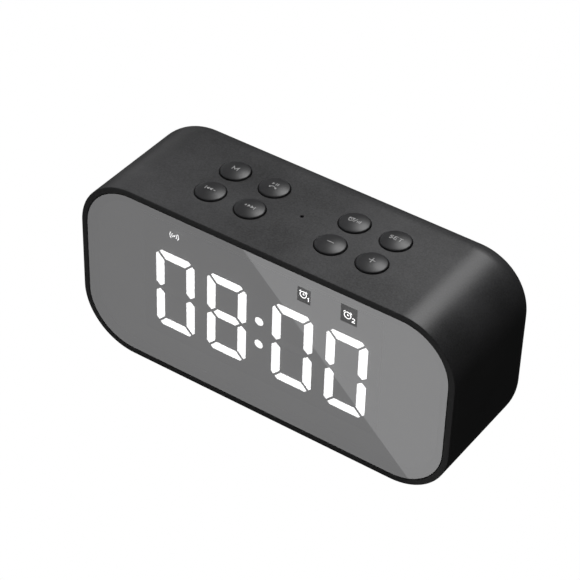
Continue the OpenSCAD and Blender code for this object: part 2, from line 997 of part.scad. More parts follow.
// Cone, dust cap and voice coil in one
module speaker_cone(side) {
    neck_y = basket_end_y + 2.4;
    coil_y = magnet_y + 1.5 + cone_travel + 0.4;
    color([0.12, 0.12, 0.12])
        speaker_turned(side)
            polygon([
                [coil_in_r, coil_y], [coil_out_r, coil_y], [coil_out_r, neck_y],
                [cone_r, cone_y - 0.3], [cone_r, cone_y],
                [coil_out_r + 0.6, neck_y + 1], [4, neck_y + 1.9], [0, neck_y + 2.2],
                [0, neck_y + 1.8], [4, neck_y + 1.5], [coil_in_r, neck_y + 0.4]
            ]);
}

// Half roll between the cone and the rim
module speaker_surround(side) {
    roll_r = surround_w / 2 - 0.05;
    color([0.06, 0.06, 0.06])
        speaker_turned(side)
            translate([cone_r + surround_w / 2, cone_y])
                intersection() {
                    difference() {
                        circle(roll_r);
                        circle(roll_r - surround_t);
                    }
                    translate([-roll_r, 0])
                        square([2 * roll_r, roll_r]);
                }
}

// Flexible disc that centres the coil in the basket
module speaker_spider(side) {
    spider_y = basket_end_y + 1.6;
    color([0.65, 0.5, 0.2])
        speaker_turned(side)
            translate([coil_out_r, spider_y])
                square([magnet_r - 1.3 - coil_out_r, 0.4]);
}

module speaker_gaskets() {
    color([0.08, 0.08, 0.08])
        for (side = [-1, 1])
            speaker_turned(side)
                translate([speaker_r - rim_w, rim_y + rim_t])
                    square([rim_w, gasket_t]);
}

module speaker_screws() {
    color([0.7, 0.7, 0.72])
        at_speaker_screws()
            translate([0, rim_y, 0])
                rotate([90, 0, 0])
                    difference() {
                        union() {
                            cylinder(d = 4.6, h = 1.1);
                            translate([0, 0, -3])
                                cylinder(d = 1.5, h = 3);
                        }
                        for (turn = [0, 90])
                            rotate(turn)
                                translate([-1.2, -cross_w / 2, 0.6])
                                    cube([2.4, cross_w, 1]);
                    }
}

// ---------- main board ----------

module main_board() {
    color([0.05, 0.3, 0.15])
        difference() {
            translate([-main_board_w / 2, main_board_y, main_board_z])
                cube([main_board_w, main_board_d, board_t]);
            at_standoffs()
                translate([0, 0, main_board_z - 1])
                    cylinder(d = pilot_d + 0.3, h = board_t + 2);
        }
}

// Places on the main board in X and from its front edge, with width and height:
// radio chip, memory, amplifier and charger
chips = [[0, 7, 7, 0.9], [-17.5, 9, 4, 0.9], [-24, 8, 5, 1], [5.8, 13, 3, 0.8]];
coil_at = [26.2, 9.5];
capacitors = [[-30.5, 11], [32.5, 11]];
battery_plug_x = 5;
speaker_plug_x = 13.5;
ribbon_plug_x = -5;
display_ribbon_x = 25.8;
plug_y = main_board_y + 1.2;
plug_h = 4.5;

// Chips, coil, capacitors and the plugs of the leads
module board_components() {
    color([0.1, 0.1, 0.1])
        for (c = chips)
            block_at(c[0], main_board_y + c[1], main_top_z, [c[2], c[2], c[3]]);
    color([0.25, 0.25, 0.25])
        block_at(coil_at[0], main_board_y + coil_at[1], main_top_z, [5, 5, 2.4]);
    color([0.2, 0.2, 0.3])
        for (c = capacitors)
            translate([c[0], main_board_y + c[1], main_top_z])
                cylinder(d = 5, h = 5.5);
    color([0.9, 0.88, 0.8]) {
        block_at(battery_plug_x, plug_y, main_top_z, [5, 3.4, plug_h]);
        for (x = [-1, 1])
            block_at(x * speaker_plug_x, plug_y, main_top_z, [5, 3.4, plug_h]);
        block_at(ribbon_plug_x, plug_y, main_top_z, [ribbon_w + 2, 2.4, 3]);
        block_at(display_ribbon_x, plug_y, main_top_z, [ribbon_w + 2, 2.4, 3]);
    }
}

module usb_socket() {
    color([0.75, 0.75, 0.77])
        difference() {
            block_at(usb_x, socket_y - usb_shell[1], main_top_z, usb_shell);
            block_at(usb_x, socket_y - usb_shell[1] + 0.6, main_top_z + 0.35,
                [usb_shell[0] - 0.7, usb_shell[1], usb_shell[2] - 0.7]);
        }
    color([0.1, 0.1, 0.1])
        block_at(usb_x, socket_y - usb_shell[1] + 0.6, main_top_z + 1.3, [4.2, 4.2, 0.55]);
}

module aux_jack() {
    nose_y = cover_y + cover_t - 0.4;
    jack_z = main_top_z + jack_body[2] / 2;
    color([0.1, 0.1, 0.1])
        difference() {
            union() {
                block_at(jack_x, socket_y - jack_body[1], main_top_z, jack_body);
                rod(jack_x, jack_z, jack_nose_d, cover_y - 0.8, nose_y);
            }
            rod(jack_x, jack_z, jack_bore_d, nose_y - jack_depth, nose_y + 1);
        }
}

module card_socket() {
    slot_h = card_shell[2] - 0.7;
    color([0.75, 0.75, 0.77])
        difference() {
            block_at(card_x, socket_y - card_shell[1], main_top_z, card_shell);
            block_at(card_x, socket_y - card_shell[1] + 1, main_top_z + 0.35,
                [card_w, card_shell[1], slot_h]);
        }
}

module switch_body() {
    slot = [slider_w + switch_travel + 0.6, 2.4, slider_h + 0.6];
    mid_x = switch_x;
    color([0.72, 0.72, 0.74])
        difference() {
            block_at(mid_x, socket_y - switch_shell[1], main_top_z, switch_shell);
            block_at(mid_x, socket_y - 2.1, main_top_z + (switch_shell[2] - slot[2]) / 2, slot);
        }
}

// Slider of the power switch, drawn at its left stop seen from the front
module switch_slider() {
    base_y = socket_y - 2.1 + 0.3;
    color([0.12, 0.12, 0.12])
        block_at(switch_x - switch_travel / 2, base_y,
            main_top_z + (switch_shell[2] - slider_h) / 2,
            [slider_w, cover_y + cover_t - 0.2 - base_y, slider_h]);
}

// ---------- battery and leads ----------

module battery_pad() {
    color([0.9, 0.9, 0.9])
        block_at(battery_x, pad_y, battery_z + 4, [battery_w - 10, pad_t, battery_h - 8]);
}

module battery_cell() {
    color([0.6, 0.62, 0.66])
        block_at(battery_x, battery_y, battery_z, [battery_w, battery_t, battery_h]);
    color([0.8, 0.65, 0.2])
        block_at(battery_x, battery_y + 2, battery_z + battery_h, [battery_w - 12, 2.5, 3]);
}

module battery_leads() {
    rear = battery_y + battery_t;
    tab = battery_z + battery_h + 1.5;
    plug_top = main_top_z + plug_h;
    for (side = [-1, 1])
        color(side < 0 ? "black" : "red")
            sweep(curve([
                [battery_plug_x + side, battery_y + 4.5 + lead_gap, tab],
                [battery_plug_x + side, battery_y + 6.5, tab + 0.4],
                [battery_plug_x + side, rear - 0.6, tab + 0.3],
                [battery_plug_x + side, rear + 1.4, tab - 2],
                [battery_plug_x + side, rear + 1.6, tab - 7],
                [battery_plug_x + side, rear + 1.6, plug_top + 9],
                [battery_plug_x + side, plug_y + 1.7, plug_top + 4],
                [battery_plug_x + side, plug_y + 1.7, plug_top + lead_end],
                [battery_plug_x + side, plug_y + 1.7, plug_top + lead_gap]
            ], 4), wire_section);
}

module speaker_leads() {
    plug_top = main_top_z + plug_h;
    tag_x = speaker_pitch / 2 - tag_r;
    for (side = [-1, 1], wire = [-0.7, 0.7])
        color(wire < 0 ? "black" : "red")
            sweep(curve([
                [side * tag_x + wire, rim_y - lead_depth, speaker_z - 2 - lead_gap],
                [side * tag_x + wire, rim_y - lead_depth, speaker_z - 2 - lead_end],
                [side * tag_x + wire, rim_y - 2, speaker_z - 5],
                [side * (tag_x - 0.8) + wire, rim_y - 5, speaker_z - 10],
                [side * speaker_plug_x + wire, plug_y + 2.6, plug_top + 6],
                [side * speaker_plug_x + wire, plug_y + 1.7, plug_top + 3],
                [side * speaker_plug_x + wire, plug_y + 1.7, plug_top + lead_end],
                [side * speaker_plug_x + wire, plug_y + 1.7, plug_top + lead_gap]
            ], 4), wire_section);
}

// Flat ribbons from the button board and from the display board down to the main board
module ribbon_cables() {
    plug_top = main_top_z + 3;
    button_plug_y = plug_y + 1.2;
    color([0.85, 0.85, 0.85]) {
        sweep(curve([
            [ribbon_plug_x, button_plug_y, button_board_z - lead_gap],
            [ribbon_plug_x, button_plug_y, button_board_z - 5],
            [ribbon_plug_x, button_plug_y + 0.8, (button_board_z + plug_top) / 2],
            [ribbon_plug_x, button_plug_y, plug_top + 5],
            [ribbon_plug_x, button_plug_y, plug_top + lead_gap]
        ], 4), ribbon_section);
        sweep(curve([
            [display_plug_x, display_end_y + 2.2 + lead_gap, display_plug_z + 2],
            [display_plug_x, display_end_y + 2.2 + lead_end, display_plug_z + 2],
            [display_plug_x, display_end_y + 5, display_plug_z + 2],
            [display_plug_x - 0.6, (display_end_y + plug_y) / 2 + 2, display_plug_z + 0.6],
            [display_ribbon_x, button_plug_y - 0.6, plug_top + 3],
            [display_ribbon_x, button_plug_y, plug_top + 1.5],
            [display_ribbon_x, button_plug_y, plug_top + lead_gap]
        ], 4), ribbon_section);
    }
}

housing_shell();
rear_cover();
rear_grille();
rubber_feet();
cover_screws();
front_frame();
mirror_lens();
lens_tape();
light_mask();
segment_block();
lit_segments();
unlit_segments();
sign_windows();
display_board();
segment_leds();
display_chips();
frame_screws();
board_screws();
button_cap(0);  // button_menu
button_cap(1);  // button_play
button_cap(2);  // button_previous
button_cap(3);  // button_next
button_cap(4);  // button_alarm
button_cap(5);  // button_set
button_cap(6);  // button_minus
button_cap(7);  // button_plus
plunger(0);  // plunger_menu
plunger(1);  // plunger_play
plunger(2);  // plunger_previous
plunger(3);  // plunger_next
plunger(4);  // plunger_alarm
plunger(5);  // plunger_set
plunger(6);  // plunger_minus
plunger(7);  // plunger_plus
tact_switches();
button_board();
microphone();
mic_boot();
speaker_baskets();
speaker_magnets();
speaker_cone(-1);  // speaker_cone_left
speaker_cone(1);  // speaker_cone_right
speaker_surround(-1);  // speaker_surround_left
speaker_surround(1);  // speaker_surround_right
speaker_spider(-1);  // speaker_spider_left
speaker_spider(1);  // speaker_spider_right
speaker_gaskets();
speaker_screws();
main_board();
board_components();
usb_socket();
aux_jack();
card_socket();
switch_body();
switch_slider();
battery_cell();
battery_pad();
speaker_leads();
battery_leads();
ribbon_cables();
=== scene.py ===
import json
from math import asin, atan2, cos, degrees, hypot, pi, radians, sin, sqrt

import bmesh
import bpy
from bpy.props import FloatProperty, FloatVectorProperty, PointerProperty
from bpy.types import Operator, Panel, PropertyGroup
from mathutils import Matrix, Vector


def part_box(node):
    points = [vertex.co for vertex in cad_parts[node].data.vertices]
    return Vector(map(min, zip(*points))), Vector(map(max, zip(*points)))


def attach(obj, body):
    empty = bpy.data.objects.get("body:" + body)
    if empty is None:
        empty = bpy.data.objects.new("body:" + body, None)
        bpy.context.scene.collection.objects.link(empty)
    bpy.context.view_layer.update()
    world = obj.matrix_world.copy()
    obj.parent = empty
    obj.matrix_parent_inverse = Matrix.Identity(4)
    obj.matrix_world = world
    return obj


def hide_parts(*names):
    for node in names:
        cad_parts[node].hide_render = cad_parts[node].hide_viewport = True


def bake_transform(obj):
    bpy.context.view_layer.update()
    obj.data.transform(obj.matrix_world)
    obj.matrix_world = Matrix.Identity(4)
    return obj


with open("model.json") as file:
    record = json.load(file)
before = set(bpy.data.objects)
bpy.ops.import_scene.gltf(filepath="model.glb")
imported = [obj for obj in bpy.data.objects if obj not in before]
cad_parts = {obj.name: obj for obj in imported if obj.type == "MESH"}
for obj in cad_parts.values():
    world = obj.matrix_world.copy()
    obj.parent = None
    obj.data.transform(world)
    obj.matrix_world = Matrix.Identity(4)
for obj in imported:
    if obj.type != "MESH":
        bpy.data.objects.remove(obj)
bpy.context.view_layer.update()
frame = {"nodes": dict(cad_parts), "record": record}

bl_info = {
    "name": "Mirror Clock Radio",
    "version": (1, 0, 0),
    "blender": (4, 5, 0),
    "location": "3D View > Sidebar > Clock Radio",
    "description": "Dresses the CAD model of a table clock radio with a mirror display",
    "category": "Object",
}

# Meshes are drawn in millimetres, in the frame of the CAD model, and turned to metres when
# they are finished. X runs to the right seen from the front, Y to the back and Z up.
MM = 0.001


# ---------- places read from the CAD model ----------

def box_mm(node):
    """Lowest and highest corner of a CAD node, in millimetres."""
    low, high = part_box(node)
    return low / MM, high / MM


def cad_copy(node):
    """Mesh of a CAD node in millimetres, with its loose triangles joined into whole faces."""
    bm = bmesh.new()
    bm.from_mesh(frame["nodes"][node].data)
    bm.transform(Matrix.Scale(1 / MM, 4))
    bmesh.ops.remove_doubles(bm, verts=bm.verts, dist=0.001)
    bmesh.ops.dissolve_limit(bm, angle_limit=radians(0.5), verts=bm.verts, edges=bm.edges)
    return bm


def solids_of(node):
    """Boxes of the separate solids of a CAD node, in millimetres and in the mesh's order."""
    bm = cad_copy(node)
    boxes = []
    seen = set()
    for first in bm.verts:
        if first in seen:
            continue
        seen.add(first)
        group = [first]
        for vert in group:
            for edge in vert.link_edges:
                other = edge.other_vert(vert)
                if other not in seen:
                    seen.add(other)
                    group.append(other)
        axes = list(zip(*(vert.co for vert in group)))
        boxes.append((Vector(map(min, axes)), Vector(map(max, axes))))
    bm.free()
    return boxes


def middle_of(node):
    """Middle of a CAD node."""
    low, high = box_mm(node)
    return (low + high) / 2


def middles_of(node):
    """Middles of the separate solids of a CAD node."""
    return [(low + high) / 2 for low, high in solids_of(node)]


SEAT_GAP = 0.15
INK = 0.03
BODY_LOW, BODY_HIGH = box_mm("housing_shell")
HALF_W = BODY_HIGH.x
HALF_H = (BODY_HIGH.z - BODY_LOW.z) / 2
MIDDLE_Z = (BODY_HIGH.z + BODY_LOW.z) / 2
LENS_LOW, LENS_HIGH = box_mm("mirror_lens")
LENS_INSET = HALF_W - LENS_HIGH.x
WALL = LENS_INSET - SEAT_GAP
COVER_HIGH = box_mm("rear_cover")[1]
COVER_INSET = HALF_W - COVER_HIGH.x - SEAT_GAP
COVER_Y = box_mm("speaker_gaskets")[1].y
KEYS = ("menu", "play", "previous", "next", "alarm", "set", "minus", "plus")


# ---------- settings ----------

def size(name, description, millimetres):
    """A length setting, in millimetres here and in metres in the panel."""
    return FloatProperty(
        name=name, description=description, default=millimetres * MM, min=0,
        unit="LENGTH", precision=5,
    )


def share(name, description, value):
    """A setting from none to all."""
    return FloatProperty(
        name=name, description=description, default=value, min=0, max=1, subtype="FACTOR",
    )


def colour(name, description, value):
    """A colour setting."""
    return FloatVectorProperty(
        name=name, description=description, default=value, min=0, max=1,
        subtype="COLOR", size=3,
    )


def angle(name, description, turn):
    """An angle setting, in degrees here."""
    return FloatProperty(
        name=name, description=description, default=radians(turn), subtype="ANGLE",
    )


def power(name, description, watts):
    """The power of a light."""
    return FloatProperty(
        name=name, description=description, default=watts, min=0, unit="POWER", precision=3,
    )


def brightness(name, description, value):
    """How strongly a piece glows."""
    return FloatProperty(name=name, description=description, default=value, min=0)


class HousingSettings(PropertyGroup):
    """Housing, rear cover and feet."""
    corner: size("Corner radius", "Radius of the four corners seen from the front", 20)
    back_edge: size("Back edge", "Radius of the edge round the back", 9.6)
    rim_edge: size("Rim edge", "Radius of the outer edge of the rim round the display", 0.35)
    lip_edge: size("Lip edge", "Bevel of the lip round the rear cover", 0.25)
    hole_edge: size("Hole edge", "Bevel of the holes for the buttons", 0.12)
    cover_edge: size("Cover edge", "Bevel of the edges of the rear cover", 0.2)
    plastic: colour("Plastic", "Colour of the housing", (0.034, 0.034, 0.035))
    gloss: share("Roughness", "Roughness of the housing's satin surface", 0.4)
    grain: size("Grain", "Size of the fine grain on the housing", 0.5)
    grain_depth: size("Grain depth", "Depth of the fine grain", 0.02)


class ButtonSettings(PropertyGroup):
    """Buttons and their legends."""
    cap: size("Cap diameter", "Diameter of a button above the housing", 10.0)
    dome: size("Dome height", "Height of a button's dome above its edge", 0.85)
    edge: size("Cap edge", "Radius of the edge round a cap", 0.45)
    plastic: colour("Plastic", "Colour of the buttons", (0.02, 0.02, 0.021))
    gloss: share("Roughness", "Roughness of the buttons", 0.4)
    ink: colour("Ink", "Colour of the legends", (0.24, 0.24, 0.24))
    line: size("Legend line", "Width of a legend's lines", 0.3)


class DisplaySettings(PropertyGroup):
    """Mirror lens, lit digits and lit signs."""
    mirror: share("Mirror", "Share of the light that the mirror coat turns back", 0.5)
    bare: share("Bare window", "The same share in the windows of the two alarm signs", 0.17)
    silver: colour("Coat", "Tint of the mirror coat", (0.93, 0.93, 0.94))
    polish: share("Roughness", "Roughness of the lens", 0.02)
    light: colour("Light", "Colour of the lit segments", (1.0, 1.0, 1.0))
    digit_strength: brightness("Digit strength", "Strength of the lit segments", 1.8)
    sign_strength: brightness("Sign strength", "Strength of the lit signs", 1.7)
    line: size("Sign line", "Width of the lines of the lit signs", 0.22)


class GrilleSettings(PropertyGroup):
    """Perforated sheet over the speakers."""
    corner: size("Corner radius", "Radius of the corners of the sheet", 14)
    hole: size("Hole", "Diameter of a hole", 1.35)
    pitch: size("Pitch", "Distance between two holes", 2.2)
    margin: size("Margin", "Plain band round the holes", 1.6)
    steel: colour("Paint", "Colour of the painted steel", (0.022, 0.022, 0.023))


class SpeakerSettings(PropertyGroup):
    """Cones, surrounds and spiders."""
    cone: colour("Cone", "Colour of the paper cones", (0.03, 0.03, 0.032))
    rubber: colour("Surround", "Colour of the rubber surrounds", (0.012, 0.012, 0.012))
    cloth: colour("Spider", "Colour of the resin-soaked cloth", (0.55, 0.36, 0.1))
    sheet: size("Surround sheet", "Thickness of the surround", 0.3)


class StageSettings(PropertyGroup):
    """Camera, lights and floor."""
    azimuth: angle("Azimuth", "Direction of the camera round the object, from the front", 33.605)
    elevation: angle("Elevation", "Height of the camera above the horizon", 39.232)
    roll: angle("Roll", "Turn of the camera about its own axis", 1.843)
    distance: size("Distance", "Distance of the camera from the middle of the body", 700.07)
    aside: size("Aside", "How far the camera stands to the left of its line", 4.406)
    lift: size("Lift", "How far the camera stands above its line", 1.541)
    lens: FloatProperty(
        name="Lens", description="Focal length in millimetres", default=136.84, unit="CAMERA",
    )
    key: power("Key", "Power of the light over the back", 7.4)
    top: power("Top", "Power of the light overhead", 0.9)
    left: power("Left", "Power of the light at the left", 16.5)
    edge: power("Edge", "Power of the light far left", 0.18)
    fill: power("Fill", "Power of the weak light", 0.5)
    room: share("Room", "Brightness of the room round the object", 0.03)
    left_card: share("Left card", "Brightness of the card that the mirror shows", 0.352)
    right_card: share("Right card", "Brightness of the brighter card", 0.505)


# ---------- node trees ----------

class Nodes:
    """Short ways to add nodes to an empty tree and join them."""

    def __init__(self, tree):
        self.tree = tree
        tree.nodes.clear()

    def node(self, kind, inputs=None, **settings):
        """Adds a node. Inputs are values, the sockets that feed them or lists of sockets."""
        node = self.tree.nodes.new(kind)
        for key, value in settings.items():
            setattr(node, key, value)
        for socket, value in (inputs or {}).items():
            for one in value if isinstance(value, list) else [value]:
                self.feed(node.inputs[socket], one)
        return node.outputs

    def feed(self, socket, value):
        """Gives an input a value, or the socket that feeds it."""
        if isinstance(value, bpy.types.NodeSocket):
            self.tree.links.new(value, socket)
        else:
            socket.default_value = value

    def math(self, operation, a, b=0.0):
        return self.node("ShaderNodeMath", {0: a, 1: b}, operation=operation)[0]


# ---------- materials ----------

class Finish(Nodes):
    """One procedural material: a Principled shader and the nodes that feed it."""

    def __init__(self, name, **constants):
        self.material = bpy.data.materials.new(name)
        self.material.use_nodes = True
        super().__init__(self.material.node_tree)
        self.shader = self.tree.nodes.new("ShaderNodeBsdfPrincipled")
        self.node("ShaderNodeOutputMaterial", {"Surface": self.shader.outputs["BSDF"]})
        self.dress(**constants)

    def place(self, stretch=(1, 1, 1)):
        """Object coordinates in millimetres."""
        coords = self.node("ShaderNodeTexCoord")["Object"]
        scale = tuple(factor / MM for factor in stretch)
        return self.node("ShaderNodeMapping", {"Vector": coords, "Scale": scale})[0]

    def noise(self, place, spot, detail=2.0):
        """Cloudy pattern whose spots are about so many millimetres wide."""
        return self.node("ShaderNodeTexNoise", {
            "Vector": place, "Scale": 1 / spot, "Detail": detail,
        })[0]

    def cells(self, place, spot, feature="F1"):
        """Distance to the nearest of scattered points, so many millimetres apart."""
        return self.node("ShaderNodeTexVoronoi", {
            "Vector": place, "Scale": 1 / spot,
        }, feature=feature)[0]

    def spread(self, factor, low, high, start=0.3, end=0.7):
        """Turns a pattern into a range of values."""
        return self.node("ShaderNodeMapRange", {
            "Value": factor, "From Min": start, "From Max": end, "To Min": low, "To Max": high,
        })[0]

    def blend(self, factor, a, b):
        """Mixes two colours."""
        inputs = {0: factor, 6: rgba(a), 7: rgba(b)}
        return self.node("ShaderNodeMix", inputs, data_type="RGBA")[2]

    def bump(self, height, depth, under=None):
        """Normal of a surface that rises by so many millimetres where the pattern is high."""
        inputs = {"Height": height, "Distance": depth * MM}
        if under is not None:
            inputs["Normal"] = under
        return self.node("ShaderNodeBump", inputs)[0]

    def dress(self, **inputs):
        """Gives the shader values and patterns, and returns the material."""
        for socket, value in inputs.items():
            self.feed(self.shader.inputs[socket.replace("_", " ")], value)
        return self.material


def rgba(value):
    """A colour with its alpha, or the socket that gives one."""
    if isinstance(value, bpy.types.NodeSocket):
        return value
    return (*value[:3], 1)


def tinted(value, factor):
    return tuple(min(part * factor, 1) for part in value[:3])


def moulded(name, tone, gloss, grain=0.5, depth=0.006, drift=0.1, patch=25.0, **constants):
    """Moulded or painted surface: fine grain, with tone and gloss that drift over patches."""
    f = Finish(name, **constants)
    place = f.place()
    grains = f.noise(place, grain, detail=3)
    patches = f.noise(place, patch, detail=4)
    mixed = f.math("MULTIPLY_ADD", grains, 0.5)
    f.feed(mixed.node.inputs[2], f.math("MULTIPLY", patches, 0.5))
    base = f.blend(f.spread(mixed, 0, 1), tinted(tone, 1 - drift), tinted(tone, 1 + drift))
    rough = f.spread(mixed, gloss * 0.9, gloss * 1.1)
    return f.dress(Base_Color=base, Roughness=rough, Normal=f.bump(grains, depth))


def housing_plastic():
    """Satin black with a fine spark-eroded grain."""
    s = bpy.context.scene.clock_housing
    return moulded(
        "satin black plastic", s.plastic, s.gloss, s.grain / MM, s.grain_depth / MM, drift=0.5,
        Specular_IOR_Level=0.2,
    )


def cover_plastic():
    s = bpy.context.scene.clock_housing
    return moulded("grained black plastic", s.plastic, s.gloss + 0.06, 0.7, 0.012)


def button_plastic():
    s = bpy.context.scene.clock_buttons
    return moulded(
        "button plastic", s.plastic, s.gloss, 0.35, 0.003, patch=6, Specular_IOR_Level=0.3,
    )


def inner_plastic():
    return moulded("inner plastic", (0.03, 0.03, 0.03), 0.5, 0.6, 0.01)


def switch_plastic():
    return moulded("socket plastic", (0.012, 0.012, 0.012), 0.4, 0.3, 0.003, patch=4)


def slider_plastic():
    return moulded("slider plastic", (0.03, 0.03, 0.03), 0.38, 0.25, 0.003, patch=3)


def plunger_plastic():
    return moulded("plunger plastic", (0.45, 0.04, 0.03), 0.3, 0.4, 0.002, patch=4)


def white_plastic():
    return moulded("white plastic", (0.78, 0.78, 0.76), 0.5, 0.6, 0.004, drift=0.03)


def chip_plastic():
    return moulded("chip plastic", (0.02, 0.02, 0.02), 0.45, 0.2, 0.004, patch=3)


def rubber():
    """Soft matt rubber with a pebbled skin."""
    f = Finish("foot rubber", Specular_IOR_Level=0.35)
    place = f.place()
    pebbles = f.cells(place, 0.5)
    dust = f.noise(place, 2.5, detail=4)
    base = f.blend(f.spread(dust, 0, 1), (0.014, 0.014, 0.014), (0.02, 0.02, 0.019))
    return f.dress(
        Base_Color=base, Roughness=f.spread(dust, 0.62, 0.78), Normal=f.bump(pebbles, 0.02),
    )


def grille_steel():
    """Powder coat on steel, with its orange-peel skin."""
    s = bpy.context.scene.clock_grille
    f = Finish("powder coat")
    place = f.place()
    peel = f.cells(place, 0.35, "SMOOTH_F1")
    patches = f.noise(place, 18, detail=3)
    base = f.blend(f.spread(patches, 0, 1), tinted(s.steel, 0.85), tinted(s.steel, 1.2))
    return f.dress(
        Base_Color=base, Roughness=f.spread(peel, 0.42, 0.52, 0, 0.6), Normal=f.bump(peel, 0.01),
    )


def metal(name, tone, gloss, stretch=(1, 1, 1), line=0.15, depth=0.002, **constants):
    """Bare or plated metal with fine lines along its stretched axis."""
    f = Finish(name, Metallic=1.0, **constants)
    lines = f.noise(f.place(stretch), line, detail=4)
    stains = f.noise(f.place(), 3, detail=3)
    base = f.blend(f.spread(stains, 0, 1), tinted(tone, 0.88), tinted(tone, 1.05))
    rough = f.spread(lines, gloss * 0.75, gloss * 1.3)
    return f.dress(Base_Color=base, Roughness=rough, Normal=f.bump(lines, depth))


def black_screws():
    return metal("black zinc", (0.06, 0.06, 0.065), 0.34)


def plated_screws():
    return metal("zinc plate", (0.62, 0.62, 0.64), 0.28)


def socket_metal():
    return metal("socket metal", (0.66, 0.65, 0.62), 0.24, (1, 0.06, 1))


def gold_plate():
    return metal("gold plate", (0.83, 0.6, 0.22), 0.22, (1, 0.1, 1))


def magnet():
    return metal("magnet", (0.32, 0.32, 0.33), 0.42, line=0.4, depth=0.006)


def speaker_steel():
    return metal("stamped steel", (0.11, 0.11, 0.115), 0.4, line=0.5, depth=0.004)


def battery_foil():
    """Silver pouch with creases."""
    f = Finish("battery foil", Metallic=1.0)
    place = f.place()
    creases = f.cells(place, 7, "DISTANCE_TO_EDGE")
    wrinkles = f.noise(place, 2, detail=4)
    base = f.blend(f.spread(wrinkles, 0, 1), (0.52, 0.53, 0.55), (0.68, 0.69, 0.7))
    normal = f.bump(f.spread(creases, 0, 1, 0, 0.08), 0.06, f.bump(wrinkles, 0.05))
    return f.dress(Base_Color=base, Roughness=f.spread(wrinkles, 0.25, 0.42), Normal=normal)


def circuit_board():
    """Green solder mask over copper tracks."""
    f = Finish("solder mask", Coat_Weight=0.4, Coat_Roughness=0.15)
    place = f.place()
    upright = f.node("ShaderNodeMapping", {"Vector": place, "Rotation": (radians(90), 0, 0)})[0]
    tracks = f.node("ShaderNodeTexBrick", {
        "Vector": upright, "Scale": 0.25, "Mortar Size": 0.05, "Mortar Smooth": 0.2,
        "Brick Width": 1.7, "Row Height": 0.3,
    })["Fac"]
    clouds = f.noise(place, 5, detail=3)
    mask = f.blend(f.spread(clouds, 0, 1), (0.006, 0.055, 0.022), (0.01, 0.08, 0.034))
    base = f.blend(tracks, mask, (0.03, 0.16, 0.07))
    return f.dress(
        Base_Color=base, Roughness=f.spread(clouds, 0.3, 0.42), Normal=f.bump(tracks, 0.03),
    )


def led_body():
    return moulded("phosphor", (0.85, 0.72, 0.25), 0.3, 0.2, 0.004, drift=0.06, patch=1)


def tape():
    """Black foam tape with open pores, painted darker inside them as shade."""
    f = Finish("foam tape")
    pores = f.cells(f.place(), 0.25)
    # Painted shade: the foam is darker towards the middle of each pore, where its bump sinks.
    base = f.blend(f.spread(pores, 0, 1, 0.1, 0.6), (0.008, 0.008, 0.008), (0.03, 0.03, 0.03))
    return f.dress(
        Base_Color=base, Roughness=f.spread(pores, 0.8, 0.95), Normal=f.bump(pores, 0.04),
    )


def mask_film():
    return moulded("mask film", (0.006, 0.006, 0.006), 0.6, 0.3, 0.001)


def gasket_foam():
    return moulded("gasket foam", (0.02, 0.02, 0.02), 0.9, 0.25, 0.05, drift=0.3, patch=2)


def lead_sleeve():
    """Wire sleeves in soft dark plastic with a fine grain."""
    f = Finish("wire sleeve")
    place = f.place()
    grains = f.noise(place, 0.4)
    base = f.blend(f.spread(grains, 0, 1), (0.016, 0.016, 0.017), (0.03, 0.028, 0.028))
    return f.dress(
        Base_Color=base, Roughness=f.spread(grains, 0.35, 0.5), Normal=f.bump(grains, 0.004),
    )


def ribbon_film():
    """Flat cable with its wires under white film."""
    f = Finish("ribbon film")
    place = f.place()
    wires = f.node("ShaderNodeTexWave", {"Vector": place, "Scale": 0.31})[1]
    base = f.blend(wires, (0.5, 0.5, 0.48), (0.82, 0.82, 0.8))
    return f.dress(
        Base_Color=base, Roughness=f.spread(wires, 0.3, 0.45, 0, 1), Normal=f.bump(wires, 0.03),
    )


def cone_paper():
    """Pressed black paper with short fibres."""
    s = bpy.context.scene.clock_speakers
    f = Finish("cone paper")
    fibres = f.noise(f.place((1, 1, 0.2)), 0.25, detail=5)
    strands = f.noise(f.place((0.2, 1, 1)), 0.25, detail=5)
    both = f.math("MULTIPLY", fibres, strands)
    base = f.blend(f.spread(both, 0, 1, 0.12, 0.4), tinted(s.cone, 0.7), tinted(s.cone, 1.5))
    return f.dress(
        Base_Color=base, Roughness=f.spread(both, 0.7, 0.9, 0.1, 0.4), Normal=f.bump(both, 0.05),
    )


def surround_rubber():
    s = bpy.context.scene.clock_speakers
    return moulded("surround rubber", s.rubber, 0.45, 0.4, 0.006, patch=5)


def spider_cloth():
    """Woven cloth stiffened with resin, painted darker between its threads as shade."""
    s = bpy.context.scene.clock_speakers
    f = Finish("spider cloth")
    place = f.place()
    warp = f.node("ShaderNodeTexWave", {"Vector": place, "Scale": 0.8}, bands_direction="X")[1]
    weft = f.node("ShaderNodeTexWave", {"Vector": place, "Scale": 0.8}, bands_direction="Z")[1]
    weave = f.math("MAXIMUM", warp, weft)
    # Painted shade: the cloth is half as bright in the gaps between the threads, where its bump
    # sinks.
    base = f.blend(weave, tinted(s.cloth, 0.5), s.cloth)
    return f.dress(
        Base_Color=base, Roughness=f.spread(weave, 0.6, 0.8, 0, 1), Normal=f.bump(weave, 0.05),
    )


def glowing(name, glow, tone):
    """White diffuser lit from behind."""
    f = Finish(name, Emission_Strength=glow, Emission_Color=rgba(tone))
    clouds = f.noise(f.place(), 1.5)
    return f.dress(
        Base_Color=f.blend(clouds, (0.8, 0.8, 0.8), (0.9, 0.9, 0.9)),
        Roughness=f.spread(clouds, 0.36, 0.44),
        Normal=f.bump(clouds, 0.004),
    )


def lit_segments():
    s = bpy.context.scene.clock_display
    return glowing("lit segment", s.digit_strength, s.light)


def lit_sign():
    s = bpy.context.scene.clock_display
    return glowing("lit sign", s.sign_strength, s.light)


def unlit_segments():
    return moulded("unlit segment", (0.02, 0.02, 0.02), 0.5, 0.5, 0.002)


def sign_windows():
    return moulded("smoked window", (0.012, 0.012, 0.012), 0.3, 0.5, 0.001)


